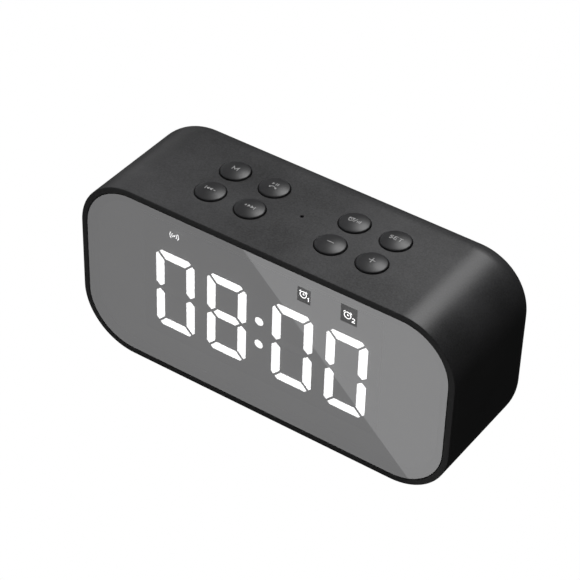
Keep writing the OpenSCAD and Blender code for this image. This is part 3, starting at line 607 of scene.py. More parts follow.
def legend_ink():
    s = bpy.context.scene.clock_buttons
    return moulded("legend ink", s.ink, 0.6, 0.25, 0.002, drift=0.12, patch=0.8)


def port_ink():
    s = bpy.context.scene.clock_buttons
    return moulded("port ink", tinted(s.ink, 0.7), 0.6, 0.25, 0.002, drift=0.12, patch=0.8)


def clear_acrylic():
    """Back and edge of the lens: nearly clear, with a gloss and a few faint wipe marks."""
    s = bpy.context.scene.clock_display
    f = Finish("clear acrylic", Alpha=0.06, IOR=1.49)
    wipes = f.noise(f.place((0.15, 1, 0.5)), 6, detail=4)
    tint = f.blend(f.spread(wipes, 0, 1), (0.02, 0.02, 0.02), (0.03, 0.03, 0.03))
    return f.dress(Base_Color=tint, Roughness=f.spread(wipes, s.polish, s.polish + 0.03, 0.4, 0.8))


def mirror_lens():
    """Half-mirror coat on the front of the lens, left out round the two alarm signs."""
    s = bpy.context.scene.clock_display
    f = Finish("half mirror", Metallic=1.0)
    place = f.place()
    axes = f.node("ShaderNodeSeparateXYZ", {0: place})
    bare = 0.0
    for middle, half_w, half_h in alarm_windows():
        across = f.math("ABSOLUTE", f.math("SUBTRACT", axes["X"], middle.x))
        along = f.math("ABSOLUTE", f.math("SUBTRACT", axes["Z"], middle.z))
        in_width = f.math("LESS_THAN", across, half_w)
        in_height = f.math("LESS_THAN", along, half_h)
        bare = f.math("ADD", f.math("MULTIPLY", in_width, in_height), bare)
    clouds = f.noise(place, 30, detail=3)
    coat = f.blend(f.spread(clouds, 0, 1), tinted(s.silver, 0.98), s.silver)
    return f.dress(
        Base_Color=coat, Roughness=f.spread(clouds, s.polish, s.polish + 0.01),
        Alpha=f.spread(bare, s.mirror, s.bare, 0, 1),
    )


# How far the lit signs stand from their windows in the CAD model, and where the bare windows
# round the two alarm signs lie from those signs, with half their width and height.
SIGN_SHIFT = Vector((0.9, 0, 1.35))
BARE_WINDOWS = ((Vector((-0.25, 0, 0)), 2.42, 2.75), (Vector((-0.2, 0, 0.45)), 2.95, 3.3))


def sign_middles():
    """Middles of the three lit signs, close behind the mirror coat."""
    shifted = [middle + SIGN_SHIFT for middle in middles_of("sign_windows")]
    for middle in shifted:
        middle.y = LENS_LOW.y + 0.05
    return sorted(shifted, key=lambda middle: middle.x)


def alarm_windows():
    """Middle and half sizes of the bare windows in the mirror coat."""
    return [
        (middle + shift, half_w, half_h)
        for middle, (shift, half_w, half_h) in zip(sign_middles()[1:], BARE_WINDOWS)
    ]


FINISHES = {make.__name__: make for make in (
    housing_plastic, cover_plastic, button_plastic, inner_plastic, switch_plastic,
    slider_plastic, plunger_plastic, white_plastic, chip_plastic, rubber, grille_steel,
    black_screws, plated_screws, socket_metal, gold_plate, magnet, speaker_steel, battery_foil,
    circuit_board, led_body, tape, mask_film, gasket_foam, lead_sleeve, ribbon_film, cone_paper,
    surround_rubber, spider_cloth, lit_segments, lit_sign, unlit_segments, sign_windows,
    legend_ink, port_ink, clear_acrylic, mirror_lens,
)}
made = {}


def finish(name):
    """Material by the name of its function, made the first time that it is asked for."""
    if name not in made:
        made[name] = FINISHES[name]()
    return made[name]


# ---------- shapes ----------

def arc(x, y, r, start, end, steps):
    """Points of an arc, by its middle, radius and two angles in degrees."""
    turns = [radians(start + (end - start) * i / steps) for i in range(steps + 1)]
    return [(x + r * cos(turn), y + r * sin(turn)) for turn in turns]


def rounded_rectangle(half_w, half_h, r, steps=24):
    """Outline about the origin, anticlockwise from its right side."""
    points = []
    for sx, sz, start in ((1, 1, 0), (-1, 1, 90), (-1, -1, 180), (1, -1, 270)):
        points += arc(sx * (half_w - r), sz * (half_h - r), r, start, start + 90, steps)
    return points


def body_ring(bm, inset, y, r):
    """One ring of vertices along the body's outline, drawn in by the inset."""
    outline = rounded_rectangle(HALF_W - inset, HALF_H - inset, r - inset)
    return [bm.verts.new((x, y, z + MIDDLE_Z)) for x, z in outline]


def join_rings(bm, rings, closed=False, ends=False):
    """Walls between neighbouring rings, closed to a loop or with faces over both ends if
    asked. A ring of one vertex makes a pole."""
    pairs = list(zip(rings, rings[1:]))
    if closed:
        pairs.append((rings[-1], rings[0]))
    for a, b in pairs:
        count = max(len(a), len(b))
        for i in range(count):
            j = (i + 1) % count
            corners = []
            for vert in (a[i % len(a)], a[j % len(a)], b[j % len(b)], b[i % len(b)]):
                if vert not in corners:
                    corners.append(vert)
            if len(corners) > 2:
                bm.faces.new(corners)
    if ends:
        bm.faces.new(rings[0])
        bm.faces.new(rings[-1])


def turned(bm, section, middle, steps=48, axis="Z", closed=False):
    """Turns a section of (radius, height) pairs about an axis through the middle."""
    rings = []
    for r, h in section:
        around = [(r * cos(2 * pi * i / steps), r * sin(2 * pi * i / steps)) for i in range(steps)]
        if r < 1e-6:
            around = [(0, 0)]
        if axis == "Z":
            rings.append([bm.verts.new((middle[0] + a, middle[1] + b, h)) for a, b in around])
        else:
            rings.append([bm.verts.new((middle[0] + a, h, middle[2] + b)) for a, b in around])
    join_rings(bm, rings, closed)
    return bm


def box(bm, low, high):
    """Plain box between two corners."""
    low, high = Vector(low), Vector(high)
    verts = bmesh.ops.create_cube(bm, size=1)["verts"]
    bmesh.ops.scale(bm, vec=high - low, verts=verts)
    bmesh.ops.translate(bm, vec=(low + high) / 2, verts=verts)
    return verts


def rod(bm, r, start, end, middle, steps=48, axis="Z"):
    """Plain cylinder from one height to another."""
    return turned(bm, [(0, start), (r, start), (r, end), (0, end)], middle, steps, axis)


def bevel(bm, width, rear=None, segments=2):
    """Bevels the sharp edges, or only those that lie in the rear plane."""
    edges = [
        edge for edge in bm.edges
        if edge.is_manifold and edge.calc_face_angle(0) > radians(35)
        and (rear is None or all(abs(vert.co.y - rear) < 0.01 for vert in edge.verts))
    ]
    bmesh.ops.bevel(
        bm, geom=edges, offset=width, segments=segments, profile=0.5,
        affect="EDGES", clamp_overlap=True,
    )


def link(name, data):
    """New object in the scene with its mesh, light or camera."""
    obj = bpy.data.objects.new(name, data)
    bpy.context.scene.collection.objects.link(obj)
    return obj


def to_mesh(name, bm):
    mesh = bpy.data.meshes.new(name)
    bm.to_mesh(mesh)
    bm.free()
    return mesh


def evaluated_mesh(obj):
    """Mesh of an object with its modifiers applied."""
    bpy.context.view_layer.update()
    depsgraph = bpy.context.evaluated_depsgraph_get()
    return bpy.data.meshes.new_from_object(obj.evaluated_get(depsgraph), depsgraph=depsgraph)


def combined(base, tool, operation):
    """Adds one closed mesh to another or cuts it out. Both are used up."""
    objects = []
    for name, bm in (("base", base), ("tool", tool)):
        bmesh.ops.recalc_face_normals(bm, faces=bm.faces)
        objects.append(link(name, to_mesh(name, bm)))
    modifier = objects[0].modifiers.new("combine", "BOOLEAN")
    modifier.operation = operation
    modifier.solver = "EXACT"
    modifier.use_self = True
    modifier.object = objects[1]
    result = bmesh.new()
    result.from_mesh(evaluated_mesh(objects[0]))
    bmesh.ops.remove_doubles(result, verts=result.verts, dist=0.0005)
    for obj in objects:
        bpy.data.objects.remove(obj)
    if not result.faces:
        raise RuntimeError(f"{operation.lower()} left nothing of the piece")
    return result


def smooth(obj, crease):
    """Smooth shading with sharp creases, and flat faces that stay flat beside a bevel."""
    obj.data.shade_smooth()
    obj.data.set_sharp_from_angle(angle=radians(crease))
    weighted = obj.modifiers.new("flat faces", "WEIGHTED_NORMAL")
    weighted.keep_sharp = True


def piece(name, bm, body, slot, materials=(), replaces=(), crease=32):
    """Finishes a mesh drawn in millimetres as a piece that rides on a body, if one is
    given. Edges that turn by more degrees than the crease stay sharp."""
    bmesh.ops.recalc_face_normals(bm, faces=bm.faces)
    bm.transform(Matrix.Scale(MM, 4))
    obj = link(name, to_mesh(name, bm))
    for label in materials or [slot]:
        obj.data.materials.append(finish(label))
    smooth(obj, crease)
    if body is not None:
        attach(obj, body)
    if replaces:
        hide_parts(*replaces)
    return obj


# ---------- lines and patches, for legends and signs ----------

def mitred(points, width, closed):
    """Points to the left and right of a line, so many millimetres wide in all."""
    sides = []
    count = len(points)
    for i, point in enumerate(points):
        before = points[i - 1] if closed or i > 0 else None
        after = points[(i + 1) % count] if closed or i < count - 1 else None
        normals = []
        for a, b in ((before, point), (point, after)):
            if a is not None and b is not None:
                length = hypot(b[0] - a[0], b[1] - a[1])
                normals.append(Vector(((a[1] - b[1]) / length, (b[0] - a[0]) / length)))
        normal = sum(normals, Vector((0, 0))).normalized()
        reach = width / 2 / max(normal.dot(normals[0]), 0.4)
        here = Vector(point)
        sides.append((here + normal * reach, here - normal * reach))
    return sides


def lay_patch(bm, points, place, thick=INK, sunk=0.05):
    """Closed thin patch on a surface. Place turns two numbers and a height into a point."""
    top = [bm.verts.new(place(u, v, thick)) for u, v in points]
    bottom = [bm.verts.new(place(u, v, -sunk)) for u, v in points]
    bm.faces.new(top)
    bm.faces.new(bottom)
    count = len(points)
    for i in range(count):
        j = (i + 1) % count
        bm.faces.new((top[i], top[j], bottom[j], bottom[i]))


def fine(points, closed):
    """The same line with points close enough together to follow a dome."""
    ends = points[1:] + points[:1] if closed else points[1:]
    result = []
    for a, b in zip(points, ends):
        count = max(1, round(hypot(b[0] - a[0], b[1] - a[1]) / 0.4))
        for i in range(count):
            t = i / count
            result.append((a[0] + (b[0] - a[0]) * t, a[1] + (b[1] - a[1]) * t))
    return result if closed else result + [points[-1]]


def lay_line(bm, points, width, place, closed=False, thick=INK, sunk=0.05):
    """Closed thin strip along a line on a surface."""
    sides = mitred(fine(points, closed), width, closed)
    rings = []
    for left, right in sides:
        rings.append([
            bm.verts.new(place(*left, thick)), bm.verts.new(place(*right, thick)),
            bm.verts.new(place(*right, -sunk)), bm.verts.new(place(*left, -sunk)),
        ])
    join_rings(bm, rings, closed, ends=not closed)


def circle_points(u, v, r, steps=20, start=0.0, end=360.0):
    """Points of a whole circle, or of a part of it with both ends."""
    if end - start >= 360:
        return arc(u, v, r, start, end, steps)[:-1]
    return arc(u, v, r, start, end, steps)


def triangle(u, v, reach, side=1):
    """Small arrow head that points to the right, or to the left."""
    return [(u, v - reach), (u + side * reach * 1.4, v), (u, v + reach)]


def draw(bm, figure, place, width, **depths):
    """Lays a figure: a list of lines, rings and patches, each with its points."""
    for kind, points in figure:
        if kind == "patch":
            lay_patch(bm, points, place, **depths)
        else:
            lay_line(bm, points, width, place, closed=kind == "ring", **depths)


def line(*points):
    return ("line", list(points))


def ring(u, v, r):
    return ("ring", circle_points(u, v, r))


def bend(u, v, r, start, end, steps=8):
    return ("line", circle_points(u, v, r, steps, start, end))


def patch(points):
    return ("patch", points)


def alarm_figure(u, v, r):
    """Alarm clock: dial, hands and two bells."""
    return [
        ring(u, v, r), line((u, v + 0.5 * r), (u, v), (u + 0.4 * r, v)),
        line((u - 1.25 * r, v + 0.75 * r), (u - 0.75 * r, v + 1.25 * r)),
        line((u + 0.75 * r, v + 1.25 * r), (u + 1.25 * r, v + 0.75 * r)),
    ]


LEGENDS = {
    "menu": [line((-0.95, -0.8), (-0.95, 0.8), (0, -0.5), (0.95, 0.8), (0.95, -0.8))],
    "play": [
        patch(triangle(-1.2, 0.75, 0.6)), line((0.25, 0.15), (0.25, 1.35)),
        line((0.85, 0.15), (0.85, 1.35)), bend(0, -1.75, 1.15, 40, 140),
        patch(circle_points(-1.05, -1.1, 0.36, 10)), patch(circle_points(1.05, -1.1, 0.36, 10)),
    ],
    "previous": [
        line((-1.8, -0.7), (-1.8, 0.7)), patch(triangle(-0.5, 0, 0.7, -1)),
        patch(triangle(0.65, 0, 0.7, -1)), line((1.1, 0), (1.9, 0)),
    ],
    "next": [
        patch(triangle(-0.65, 0, 0.7)), patch(triangle(0.5, 0, 0.7)),
        line((1.8, -0.7), (1.8, 0.7)), line((-1.9, 0), (-1.1, 0)),
        line((-1.5, -0.4), (-1.5, 0.4)),
    ],
    "alarm": alarm_figure(-1.25, -0.05, 0.8) + [
        line((-0.05, -0.85), (0.6, 0.85)), line((1.05, -0.55), (1.05, 0.1)),
        line((1.5, -0.55), (1.5, 0.4)), line((1.95, -0.55), (1.95, 0.7)),
    ],
    "set": [
        line((-1.15, 0.6), (-1.55, 0.75), (-2.05, 0.6), (-2.05, 0.15), (-1.2, -0.1),
             (-1.15, -0.55), (-1.6, -0.75), (-2.1, -0.6)),
        line((0.5, 0.72), (-0.5, 0.72), (-0.5, -0.72), (0.5, -0.72)), line((-0.5, 0), (0.35, 0)),
        line((0.95, 0.72), (2.25, 0.72)), line((1.6, 0.72), (1.6, -0.75)),
    ],
    "minus": [line((-1.2, 0), (1.2, 0))],
    "plus": [line((-1.15, 0), (1.15, 0)), line((0, -1.15), (0, 1.15))],
}

SIGNS = (
    [
        patch(circle_points(0, 0, 0.32, 14)), bend(0, 0, 0.95, -50, 50), bend(0, 0, 1.7, -42, 42),
        bend(0, 0, 0.95, 130, 230), bend(0, 0, 1.7, 138, 222),
    ],
    alarm_figure(-0.55, 0.2, 1.15) + [line((1.05, -0.6), (1.4, -0.3), (1.4, -1.7))],
    alarm_figure(-0.7, 0.1, 1.2) + [
        line((0.95, -0.55), (1.2, -0.25), (1.7, -0.3), (1.85, -0.7), (0.95, -1.7), (1.95, -1.7)),
    ],
)

PORT_FIGURES = {
    "switch_slider": [bend(0, 0, 0.85, 120, 420, 14), line((0, 0.2), (0, 1.15))],
    "aux_jack": [
        bend(0, 0, 0.8, 0, 180, 10), line((-0.8, 0), (-0.8, -0.5)), line((0.8, 0), (0.8, -0.5)),
    ],
    "usb_socket": [
        line((-1.3, 0.3), (1.3, 0.3)), line((-1.3, -0.35), (-0.65, -0.35)),
        line((-0.3, -0.35), (0.3, -0.35)), line((0.65, -0.35), (1.3, -0.35)),
    ],
    "card_socket": [
        ("ring", [(-0.8, -0.95), (0.8, -0.95), (0.8, 0.95), (-0.3, 0.95), (-0.8, 0.45)]),
    ],
}


# ---------- geometry node trees ----------

class Tree(Nodes):
    """A geometry node tree with named inputs."""

    def __init__(self, name, inputs):
        super().__init__(bpy.data.node_groups.new(name, "GeometryNodeTree"))
        self.tree.is_modifier = True
        for label, kind in inputs.items():
            self.tree.interface.new_socket(
                name=label, in_out="INPUT", socket_type="NodeSocket" + kind)
        self.tree.interface.new_socket(
            name="Geometry", in_out="OUTPUT", socket_type="NodeSocketGeometry")
        self.inputs = self.tree.nodes.new("NodeGroupInput").outputs
        self.output = self.tree.nodes.new("NodeGroupOutput").inputs[0]

    def vector(self, x=0.0, y=0.0, z=0.0):
        return self.node("ShaderNodeCombineXYZ", {0: x, 1: y, 2: z})[0]

    def end(self, geometry):
        """Closes the tree with plain geometry in its material."""
        real = self.node("GeometryNodeRealizeInstances", {0: geometry})[0]
        dressed = self.node("GeometryNodeSetMaterial", {
            "Geometry": real, "Material": self.inputs["Material"],
        })[0]
        self.feed(self.output, dressed)

    def grow(self, **values):
        """Runs the tree once and returns its mesh."""
        obj = link(self.tree.name, bpy.data.meshes.new(self.tree.name))
        modifier = obj.modifiers.new(self.tree.name, "NODES")
        modifier.node_group = self.tree
        for item in self.tree.interface.items_tree:
            if item.in_out == "INPUT":
                modifier[item.identifier] = values[item.name.replace(" ", "_")]
        mesh = evaluated_mesh(obj)
        bpy.data.objects.remove(obj)
        if not mesh.polygons:
            raise RuntimeError(f"{self.tree.name} grew nothing")
        bm = bmesh.new()
        bm.from_mesh(mesh)
        return bm


def rows_tree():
    """Copies of a template in rows and columns, each turned by chance about Y up to the spin."""
    tree = Tree("rows of copies", {
        "Template": "Object", "Start": "Vector", "Columns": "Int", "Column Step": "Vector",
        "Rows": "Int", "Row Step": "Vector", "Spin": "Float", "Material": "Material",
    })
    first = tree.node("GeometryNodeMeshLine", {
        "Count": tree.inputs["Columns"], "Start Location": tree.inputs["Start"],
        "Offset": tree.inputs["Column Step"],
    })[0]
    second = tree.node("GeometryNodeMeshLine", {
        "Count": tree.inputs["Rows"], "Offset": tree.inputs["Row Step"],
    })[0]
    grid = tree.node("GeometryNodeInstanceOnPoints", {"Points": first, "Instance": second})[0]
    points = tree.node("GeometryNodeRealizeInstances", {0: grid})[0]
    template = tree.node("GeometryNodeObjectInfo", {"Object": tree.inputs["Template"]})["Geometry"]
    turn = tree.node("FunctionNodeRandomValue", {
        "Max": tree.inputs["Spin"], "Seed": 7,
    }, data_type="FLOAT")
    chance = next(socket for socket in turn if socket.enabled)
    copies = tree.node("GeometryNodeInstanceOnPoints", {
        "Points": points, "Instance": template, "Rotation": tree.vector(y=chance),
    })[0]
    tree.end(copies)
    return tree


def sheet_tree():
    """Flat sheet with round corners and rows of holes, standing in X and Z."""
    tree = Tree("perforated sheet", {
        "Width": "Float", "Height": "Float", "Corner": "Float", "Thickness": "Float",
        "Hole": "Float", "Pitch": "Float", "Margin": "Float", "Place": "Vector",
        "Material": "Material",
    })
    given = tree.inputs
    rectangle = tree.node("GeometryNodeCurvePrimitiveQuadrilateral", {
        "Width": given["Width"], "Height": given["Height"],
    })[0]
    outline = tree.node("GeometryNodeFilletCurve", {
        "Curve": rectangle, "Radius": given["Corner"], "Count": 20,
    }, mode="POLY")[0]
    pitches = given["Pitch"], tree.math("MULTIPLY", given["Pitch"], sqrt(3))
    size = {}
    for axis, side, pitch in zip("XY", (given["Width"], given["Height"]), pitches):
        half = tree.math("MULTIPLY", tree.math("DIVIDE", side, pitch), 0.5)
        steps = tree.math("MULTIPLY", tree.math("FLOOR", half), 2.0)
        size["Size " + axis] = tree.math("MULTIPLY", steps, pitch)
        size["Vertices " + axis] = tree.math("ADD", steps, 1.0)
    grid = tree.node("GeometryNodeMeshGrid", size)[0]
    offset = tree.vector(*(tree.math("MULTIPLY", pitch, 0.5) for pitch in pitches))
    between = tree.node("GeometryNodeTransform", {"Geometry": grid, "Translation": offset})[0]
    grids = [grid, between]
    points = tree.node("GeometryNodeJoinGeometry", {0: grids})[0]
    axes = tree.node("ShaderNodeSeparateXYZ", {0: tree.node("GeometryNodeInputPosition")[0]})
    past = []
    for axis, side in ((axes[0], given["Width"]), (axes[1], given["Height"])):
        straight = tree.math("SUBTRACT", tree.math("MULTIPLY", side, 0.5), given["Corner"])
        beyond = tree.math("SUBTRACT", tree.math("ABSOLUTE", axis), straight)
        past.append(tree.math("MAXIMUM", beyond, 0.0))
    reach = tree.node("ShaderNodeVectorMath", {0: tree.vector(*past)}, operation="LENGTH")["Value"]
    hole_r = tree.math("MULTIPLY", given["Hole"], 0.5)
    limit = tree.math("SUBTRACT", tree.math("SUBTRACT", given["Corner"], given["Margin"]), hole_r)
    kept = tree.node("GeometryNodeDeleteGeometry", {
        "Geometry": points, "Selection": tree.math("GREATER_THAN", reach, limit),
    }, domain="POINT")[0]
    hole = tree.node("GeometryNodeCurvePrimitiveCircle", {"Resolution": 12, "Radius": hole_r})[0]
    holes = tree.node("GeometryNodeInstanceOnPoints", {"Points": kept, "Instance": hole})[0]
    real_holes = tree.node("GeometryNodeRealizeInstances", {0: holes})[0]
    curves = tree.node("GeometryNodeJoinGeometry", {0: [outline, real_holes]})[0]
    face = tree.node("GeometryNodeFillCurve", {"Curve": curves}, mode="TRIANGLES")[0]
    raised = tree.node("GeometryNodeExtrudeMesh", {
        "Mesh": face, "Offset": (0, 0, 1), "Offset Scale": given["Thickness"],
        "Individual": False,
    })[0]
    base = tree.node("GeometryNodeFlipFaces", {"Mesh": face})[0]
    solid = tree.node("GeometryNodeMergeByDistance", {
        "Geometry": tree.node("GeometryNodeJoinGeometry", {0: [raised, base]})[0],
        "Distance": 1e-4,
    })[0]
    stood = tree.node("GeometryNodeTransform", {
        "Geometry": solid, "Translation": given["Place"], "Rotation": (radians(90), 0, 0),
    })[0]
    tree.end(stood)
    return tree


trees = {}


def rows_of(template, start, steps, counts, material, spin=0.0):
    """Mesh of copies of a template in rows: two steps with their two counts."""
    if "rows of copies" not in trees:
        trees["rows of copies"] = rows_tree()
    bmesh.ops.recalc_face_normals(template, faces=template.faces)
    pattern = link("template", to_mesh("template", template))
    copies = trees["rows of copies"].grow(
        Template=pattern, Start=start, Columns=counts[0], Column_Step=steps[0], Rows=counts[1],
        Row_Step=steps[1], Spin=spin, Material=finish(material),
    )
    bpy.data.objects.remove(pattern)
    return copies


def grid_of(node):
    """Start, steps and counts of a node whose four solids stand in a rectangle."""
    middles = middles_of(node)
    low = Vector(map(min, zip(*middles)))
    high = Vector(map(max, zip(*middles)))
    across = Vector((high.x - low.x, 0, 0))
    return low, (across, high - low - across), (2, 2)


# ---------- operators ----------

class CLOCK_OT_inner(Operator):
    """Gives every CAD node the finish of its slot"""
    bl_idname = "clock.inner"
    bl_label = "Inner parts"

    def execute(self, context):
        for entry in frame["record"]["subparts"]:
            mesh = frame["nodes"][entry["node"]].data
            mesh.materials.clear()
            mesh.materials.append(finish(entry["material_slot"]))
        return {"FINISHED"}


class CLOCK_OT_housing(Operator):
    """Makes the housing, with its rim, lip, holes, bosses and posts"""
    bl_idname = "clock.housing"
    bl_label = "Housing"

    def execute(self, context):
        s = context.scene.clock_housing
        shell = self.form(s)
        shell = combined(shell, self.bosses(s), "UNION")
        shell = combined(shell, self.holes(s), "DIFFERENCE")
        piece("housing", shell, "chassis", "housing_plastic", replaces=["housing_shell"])
        return {"FINISHED"}

    def form(self, s):
        """Tube with a rounded back, a lip round the cover and a flange that the cover seats on."""
        front, back = BODY_LOW.y, BODY_HIGH.y
        back_edge, rim, lip = s.back_edge / MM, s.rim_edge / MM, s.lip_edge / MM
        flange = 2
        flange_inset, flange_y = COVER_INSET + flange, COVER_Y - flange
        section = arc(rim, front + rim, rim, 180, 270, 4)
        section += arc(WALL - rim, front + rim, rim, 270, 360, 4)
        section += [(WALL, flange_y), (flange_inset, flange_y), (flange_inset, COVER_Y)]
        section += [(COVER_INSET, COVER_Y)]
        lip_inset = COVER_INSET - lip
        start = asin(max(back_edge - lip_inset, 0) / back_edge)
        lip_y = back - back_edge * (1 - cos(start)) - lip
        section += arc(lip_inset, lip_y, lip, 0, 90, 3)
        section += arc(back_edge, back - back_edge, back_edge, 90 + degrees(start), 180, 16)
        bm = bmesh.new()
        join_rings(bm, [body_ring(bm, inset, y, s.corner / MM) for inset, y in section], True)
        return bm

    def bosses(self, s):
        """Bosses and ribs behind the cover, posts over the buttons' board and standoffs."""
        boss_r, post_r, boss_long = 2.8, 2.3, 12
        rib_start, rib_half = 10.5, 0.8
        tab_reach, tab_thick, tab_gap = 4, 2, 1.4
        bm = bmesh.new()
        corner = s.corner / MM
        for screw in middles_of("cover_screws"):
            rod(bm, boss_r, COVER_Y - boss_long, COVER_Y - 1, screw, axis="Y")
        for x in (-1, 1):
            for z in (-1, 1):
                middle = Vector((x * (HALF_W - corner), 0, MIDDLE_Z + z * (HALF_H - corner)))
                verts = box(bm, (rib_start, COVER_Y - boss_long, -rib_half),
                            (corner - WALL / 2, COVER_Y - 4, rib_half))
                turn = Matrix.Rotation(-atan2(z, x), 4, "Y")
                bmesh.ops.transform(bm, matrix=Matrix.Translation(middle) @ turn, verts=verts)
        board_low, board_high = box_mm("button_board")
        near_board = board_low.z - 5
        roof, floor = BODY_HIGH.z - WALL / 2, BODY_LOW.z + WALL / 2
        for low, high in solids_of("board_screws"):
            middle = (low + high) / 2
            upright = high.z - low.z >= high.y - low.y
            if upright and middle.z > near_board:
                rod(bm, post_r, board_high.z, roof, middle)
            elif upright:
                rod(bm, post_r, floor, box_mm("main_board")[0].z, middle)
        for low, high in solids_of("frame_screws"):
            middle = (low + high) / 2
            side = 1 if middle.x > 0 else -1
            inner, outer = middle.x - side * tab_reach, side * (HALF_W - WALL / 2)
            back = high.y - tab_gap
            box(bm, (min(inner, outer), back - tab_thick, middle.z - tab_reach),
                (max(inner, outer), back, middle.z + tab_reach))
        return bm

    def holes(self, s):
        """Holes for the buttons, the microphone and the screws, and the seats of the feet."""
        button_gap, mic_r, mic_edge, pilot_r = 0.25, 0.62, 0.08, 1.05
        bm = bmesh.new()
        edge, top = s.hole_edge / MM, BODY_HIGH.z
        inside = top - WALL - 1
        r = bpy.context.scene.clock_buttons.cap / MM / 2 + button_gap
        for key in KEYS:
            turned(bm, [
                (0, inside), (r, inside), (r, top - edge), (r + edge, top),
                (r + edge + 0.5, top + 0.5), (0, top + 0.5),
            ], middle_of("button_" + key), 64)
        turned(bm, [
            (0, inside), (mic_r, inside), (mic_r, top - mic_edge), (mic_r + mic_edge, top),
            (mic_r + mic_edge + 0.3, top + 0.4), (0, top + 0.4),
        ], middle_of("microphone"), 24)
        for low, high in solids_of("rubber_feet"):
            rod(bm, (high.x - low.x) / 2 + SEAT_GAP, 0, high.z, (low + high) / 2, 64)
        for screw in middles_of("cover_screws"):
            rod(bm, pilot_r, COVER_Y - 8, COVER_Y + 1, screw, 20, "Y")
        return bm


class CLOCK_OT_cover(Operator):
    """Makes the rear cover with its edges eased, and the signs beside its sockets"""
    bl_idname = "clock.cover"
    bl_label = "Rear cover"

    def execute(self, context):
        s = context.scene.clock_housing
        bm = cad_copy("rear_cover")
        rear = COVER_HIGH.y
        bevel(bm, s.cover_edge / MM, rear)
        piece("back_plate", bm, "chassis", "cover_plastic", replaces=["rear_cover"])
        marks = bmesh.new()
        sign_z = (box_mm("aux_jack")[1].z + box_mm("rear_grille")[0].z) / 2 + 0.15
        for node, figure in PORT_FIGURES.items():
            low, high = box_mm(node)
            middle = (low.x + high.x) / 2
            draw(marks, figure, lambda u, v, h: (middle - u, rear + h, sign_z + v), 0.3,
                 thick=0.02)
        piece("port_signs", marks, "chassis", "white_plastic", ["port_ink"])
        return {"FINISHED"}


class CLOCK_OT_grille(Operator):
    """Makes the perforated sheet over the speakers"""
    bl_idname = "clock.grille"
    bl_label = "Grille"

    def execute(self, context):
        s = context.scene.clock_grille
        low, high = box_mm("rear_grille")
        bm = sheet_tree().grow(
            Width=high.x - low.x, Height=high.z - low.z, Corner=s.corner / MM,
            Thickness=high.y - low.y, Hole=s.hole / MM, Pitch=s.pitch / MM,
            Margin=s.margin / MM, Place=(0, high.y, (low.z + high.z) / 2),
            Material=finish("grille_steel"),
        )
        piece("grille", bm, "chassis", "grille_steel", replaces=["rear_grille"])
        return {"FINISHED"}


class CLOCK_OT_feet(Operator):
    """Makes the four rubber feet"""
    bl_idname = "clock.feet"
    bl_label = "Feet"

    def execute(self, context):
        low, high = solids_of("rubber_feet")[0]
        r, top = (high.x - low.x) / 2, high.z - low.z
        edge, hollow = 0.4, 0.25
        section = [(0, hollow), (r - 2.2, hollow), (r - 2, 0.05), (r - 1.9, 0)]
        section += arc(r - edge, edge, edge, 270, 360, 4) + [(r, top), (0, top)]
        foot = turned(bmesh.new(), section, (0, 0, 0), 56)
        start, steps, counts = grid_of("rubber_feet")
        start.z = low.z
        feet = rows_of(foot, start, steps, counts, "rubber")
        piece("feet", feet, "chassis", "rubber", replaces=["rubber_feet"])
        return {"FINISHED"}


class CLOCK_OT_screws(Operator):
    """Makes the four cross-head screws of the rear cover"""
    bl_idname = "clock.screws"
    bl_label = "Cover screws"

    def execute(self, context):
        low, high = solids_of("cover_screws")[0]
        r, end = (high.x - low.x) / 2, low.y - high.y
        head, dome, point, shank_r, root_r, pitch = 1.4, 0.7, 0.9, 1, 0.8, 0.5
        section = [(0, end), (0.4, end), (shank_r, end + point)]
        for i in range(int((-end - head - 1.5) / pitch)):
            at = end + point + pitch * i
            section += [(shank_r, at + 0.1), (root_r, at + 0.35)]
        section += [(shank_r, -head - 0.1), (shank_r, -head), (r, -head), (r, -dome)]
        section += [(r * cos(t), dome * (sin(t) - 1)) for t in (0.35, 0.7, 1.0, 1.25)] + [(0, 0)]
        screw = turned(bmesh.new(), section, (0, 0, 0), 40, "Y")
        arms = [self.arm(r * 0.62, radians(turn)) for turn in (0, 90)]
        screw = combined(screw, combined(*arms, "UNION"), "DIFFERENCE")
        start, steps, counts = grid_of("cover_screws")
        start.y = high.y
        screws = rows_of(screw, start, steps, counts, "black_screws", spin=pi / 2)
        piece("cover_screws_turned", screws, "chassis", "black_screws", replaces=["cover_screws"])
        return {"FINISHED"}

    def arm(self, reach, turn):
        """One arm of the cross, narrower at its foot."""
        half, depth = 0.24, 0.85
        bm = bmesh.new()
        verts = box(bm, (-reach, -depth, -half), (reach, 0.5, half))
        for vert in verts:
            if vert.co.y < 0:
                vert.co.x *= 0.45
                vert.co.z *= 0.7
        bmesh.ops.rotate(bm, verts=verts, matrix=Matrix.Rotation(turn, 3, "Y"))
        return bm


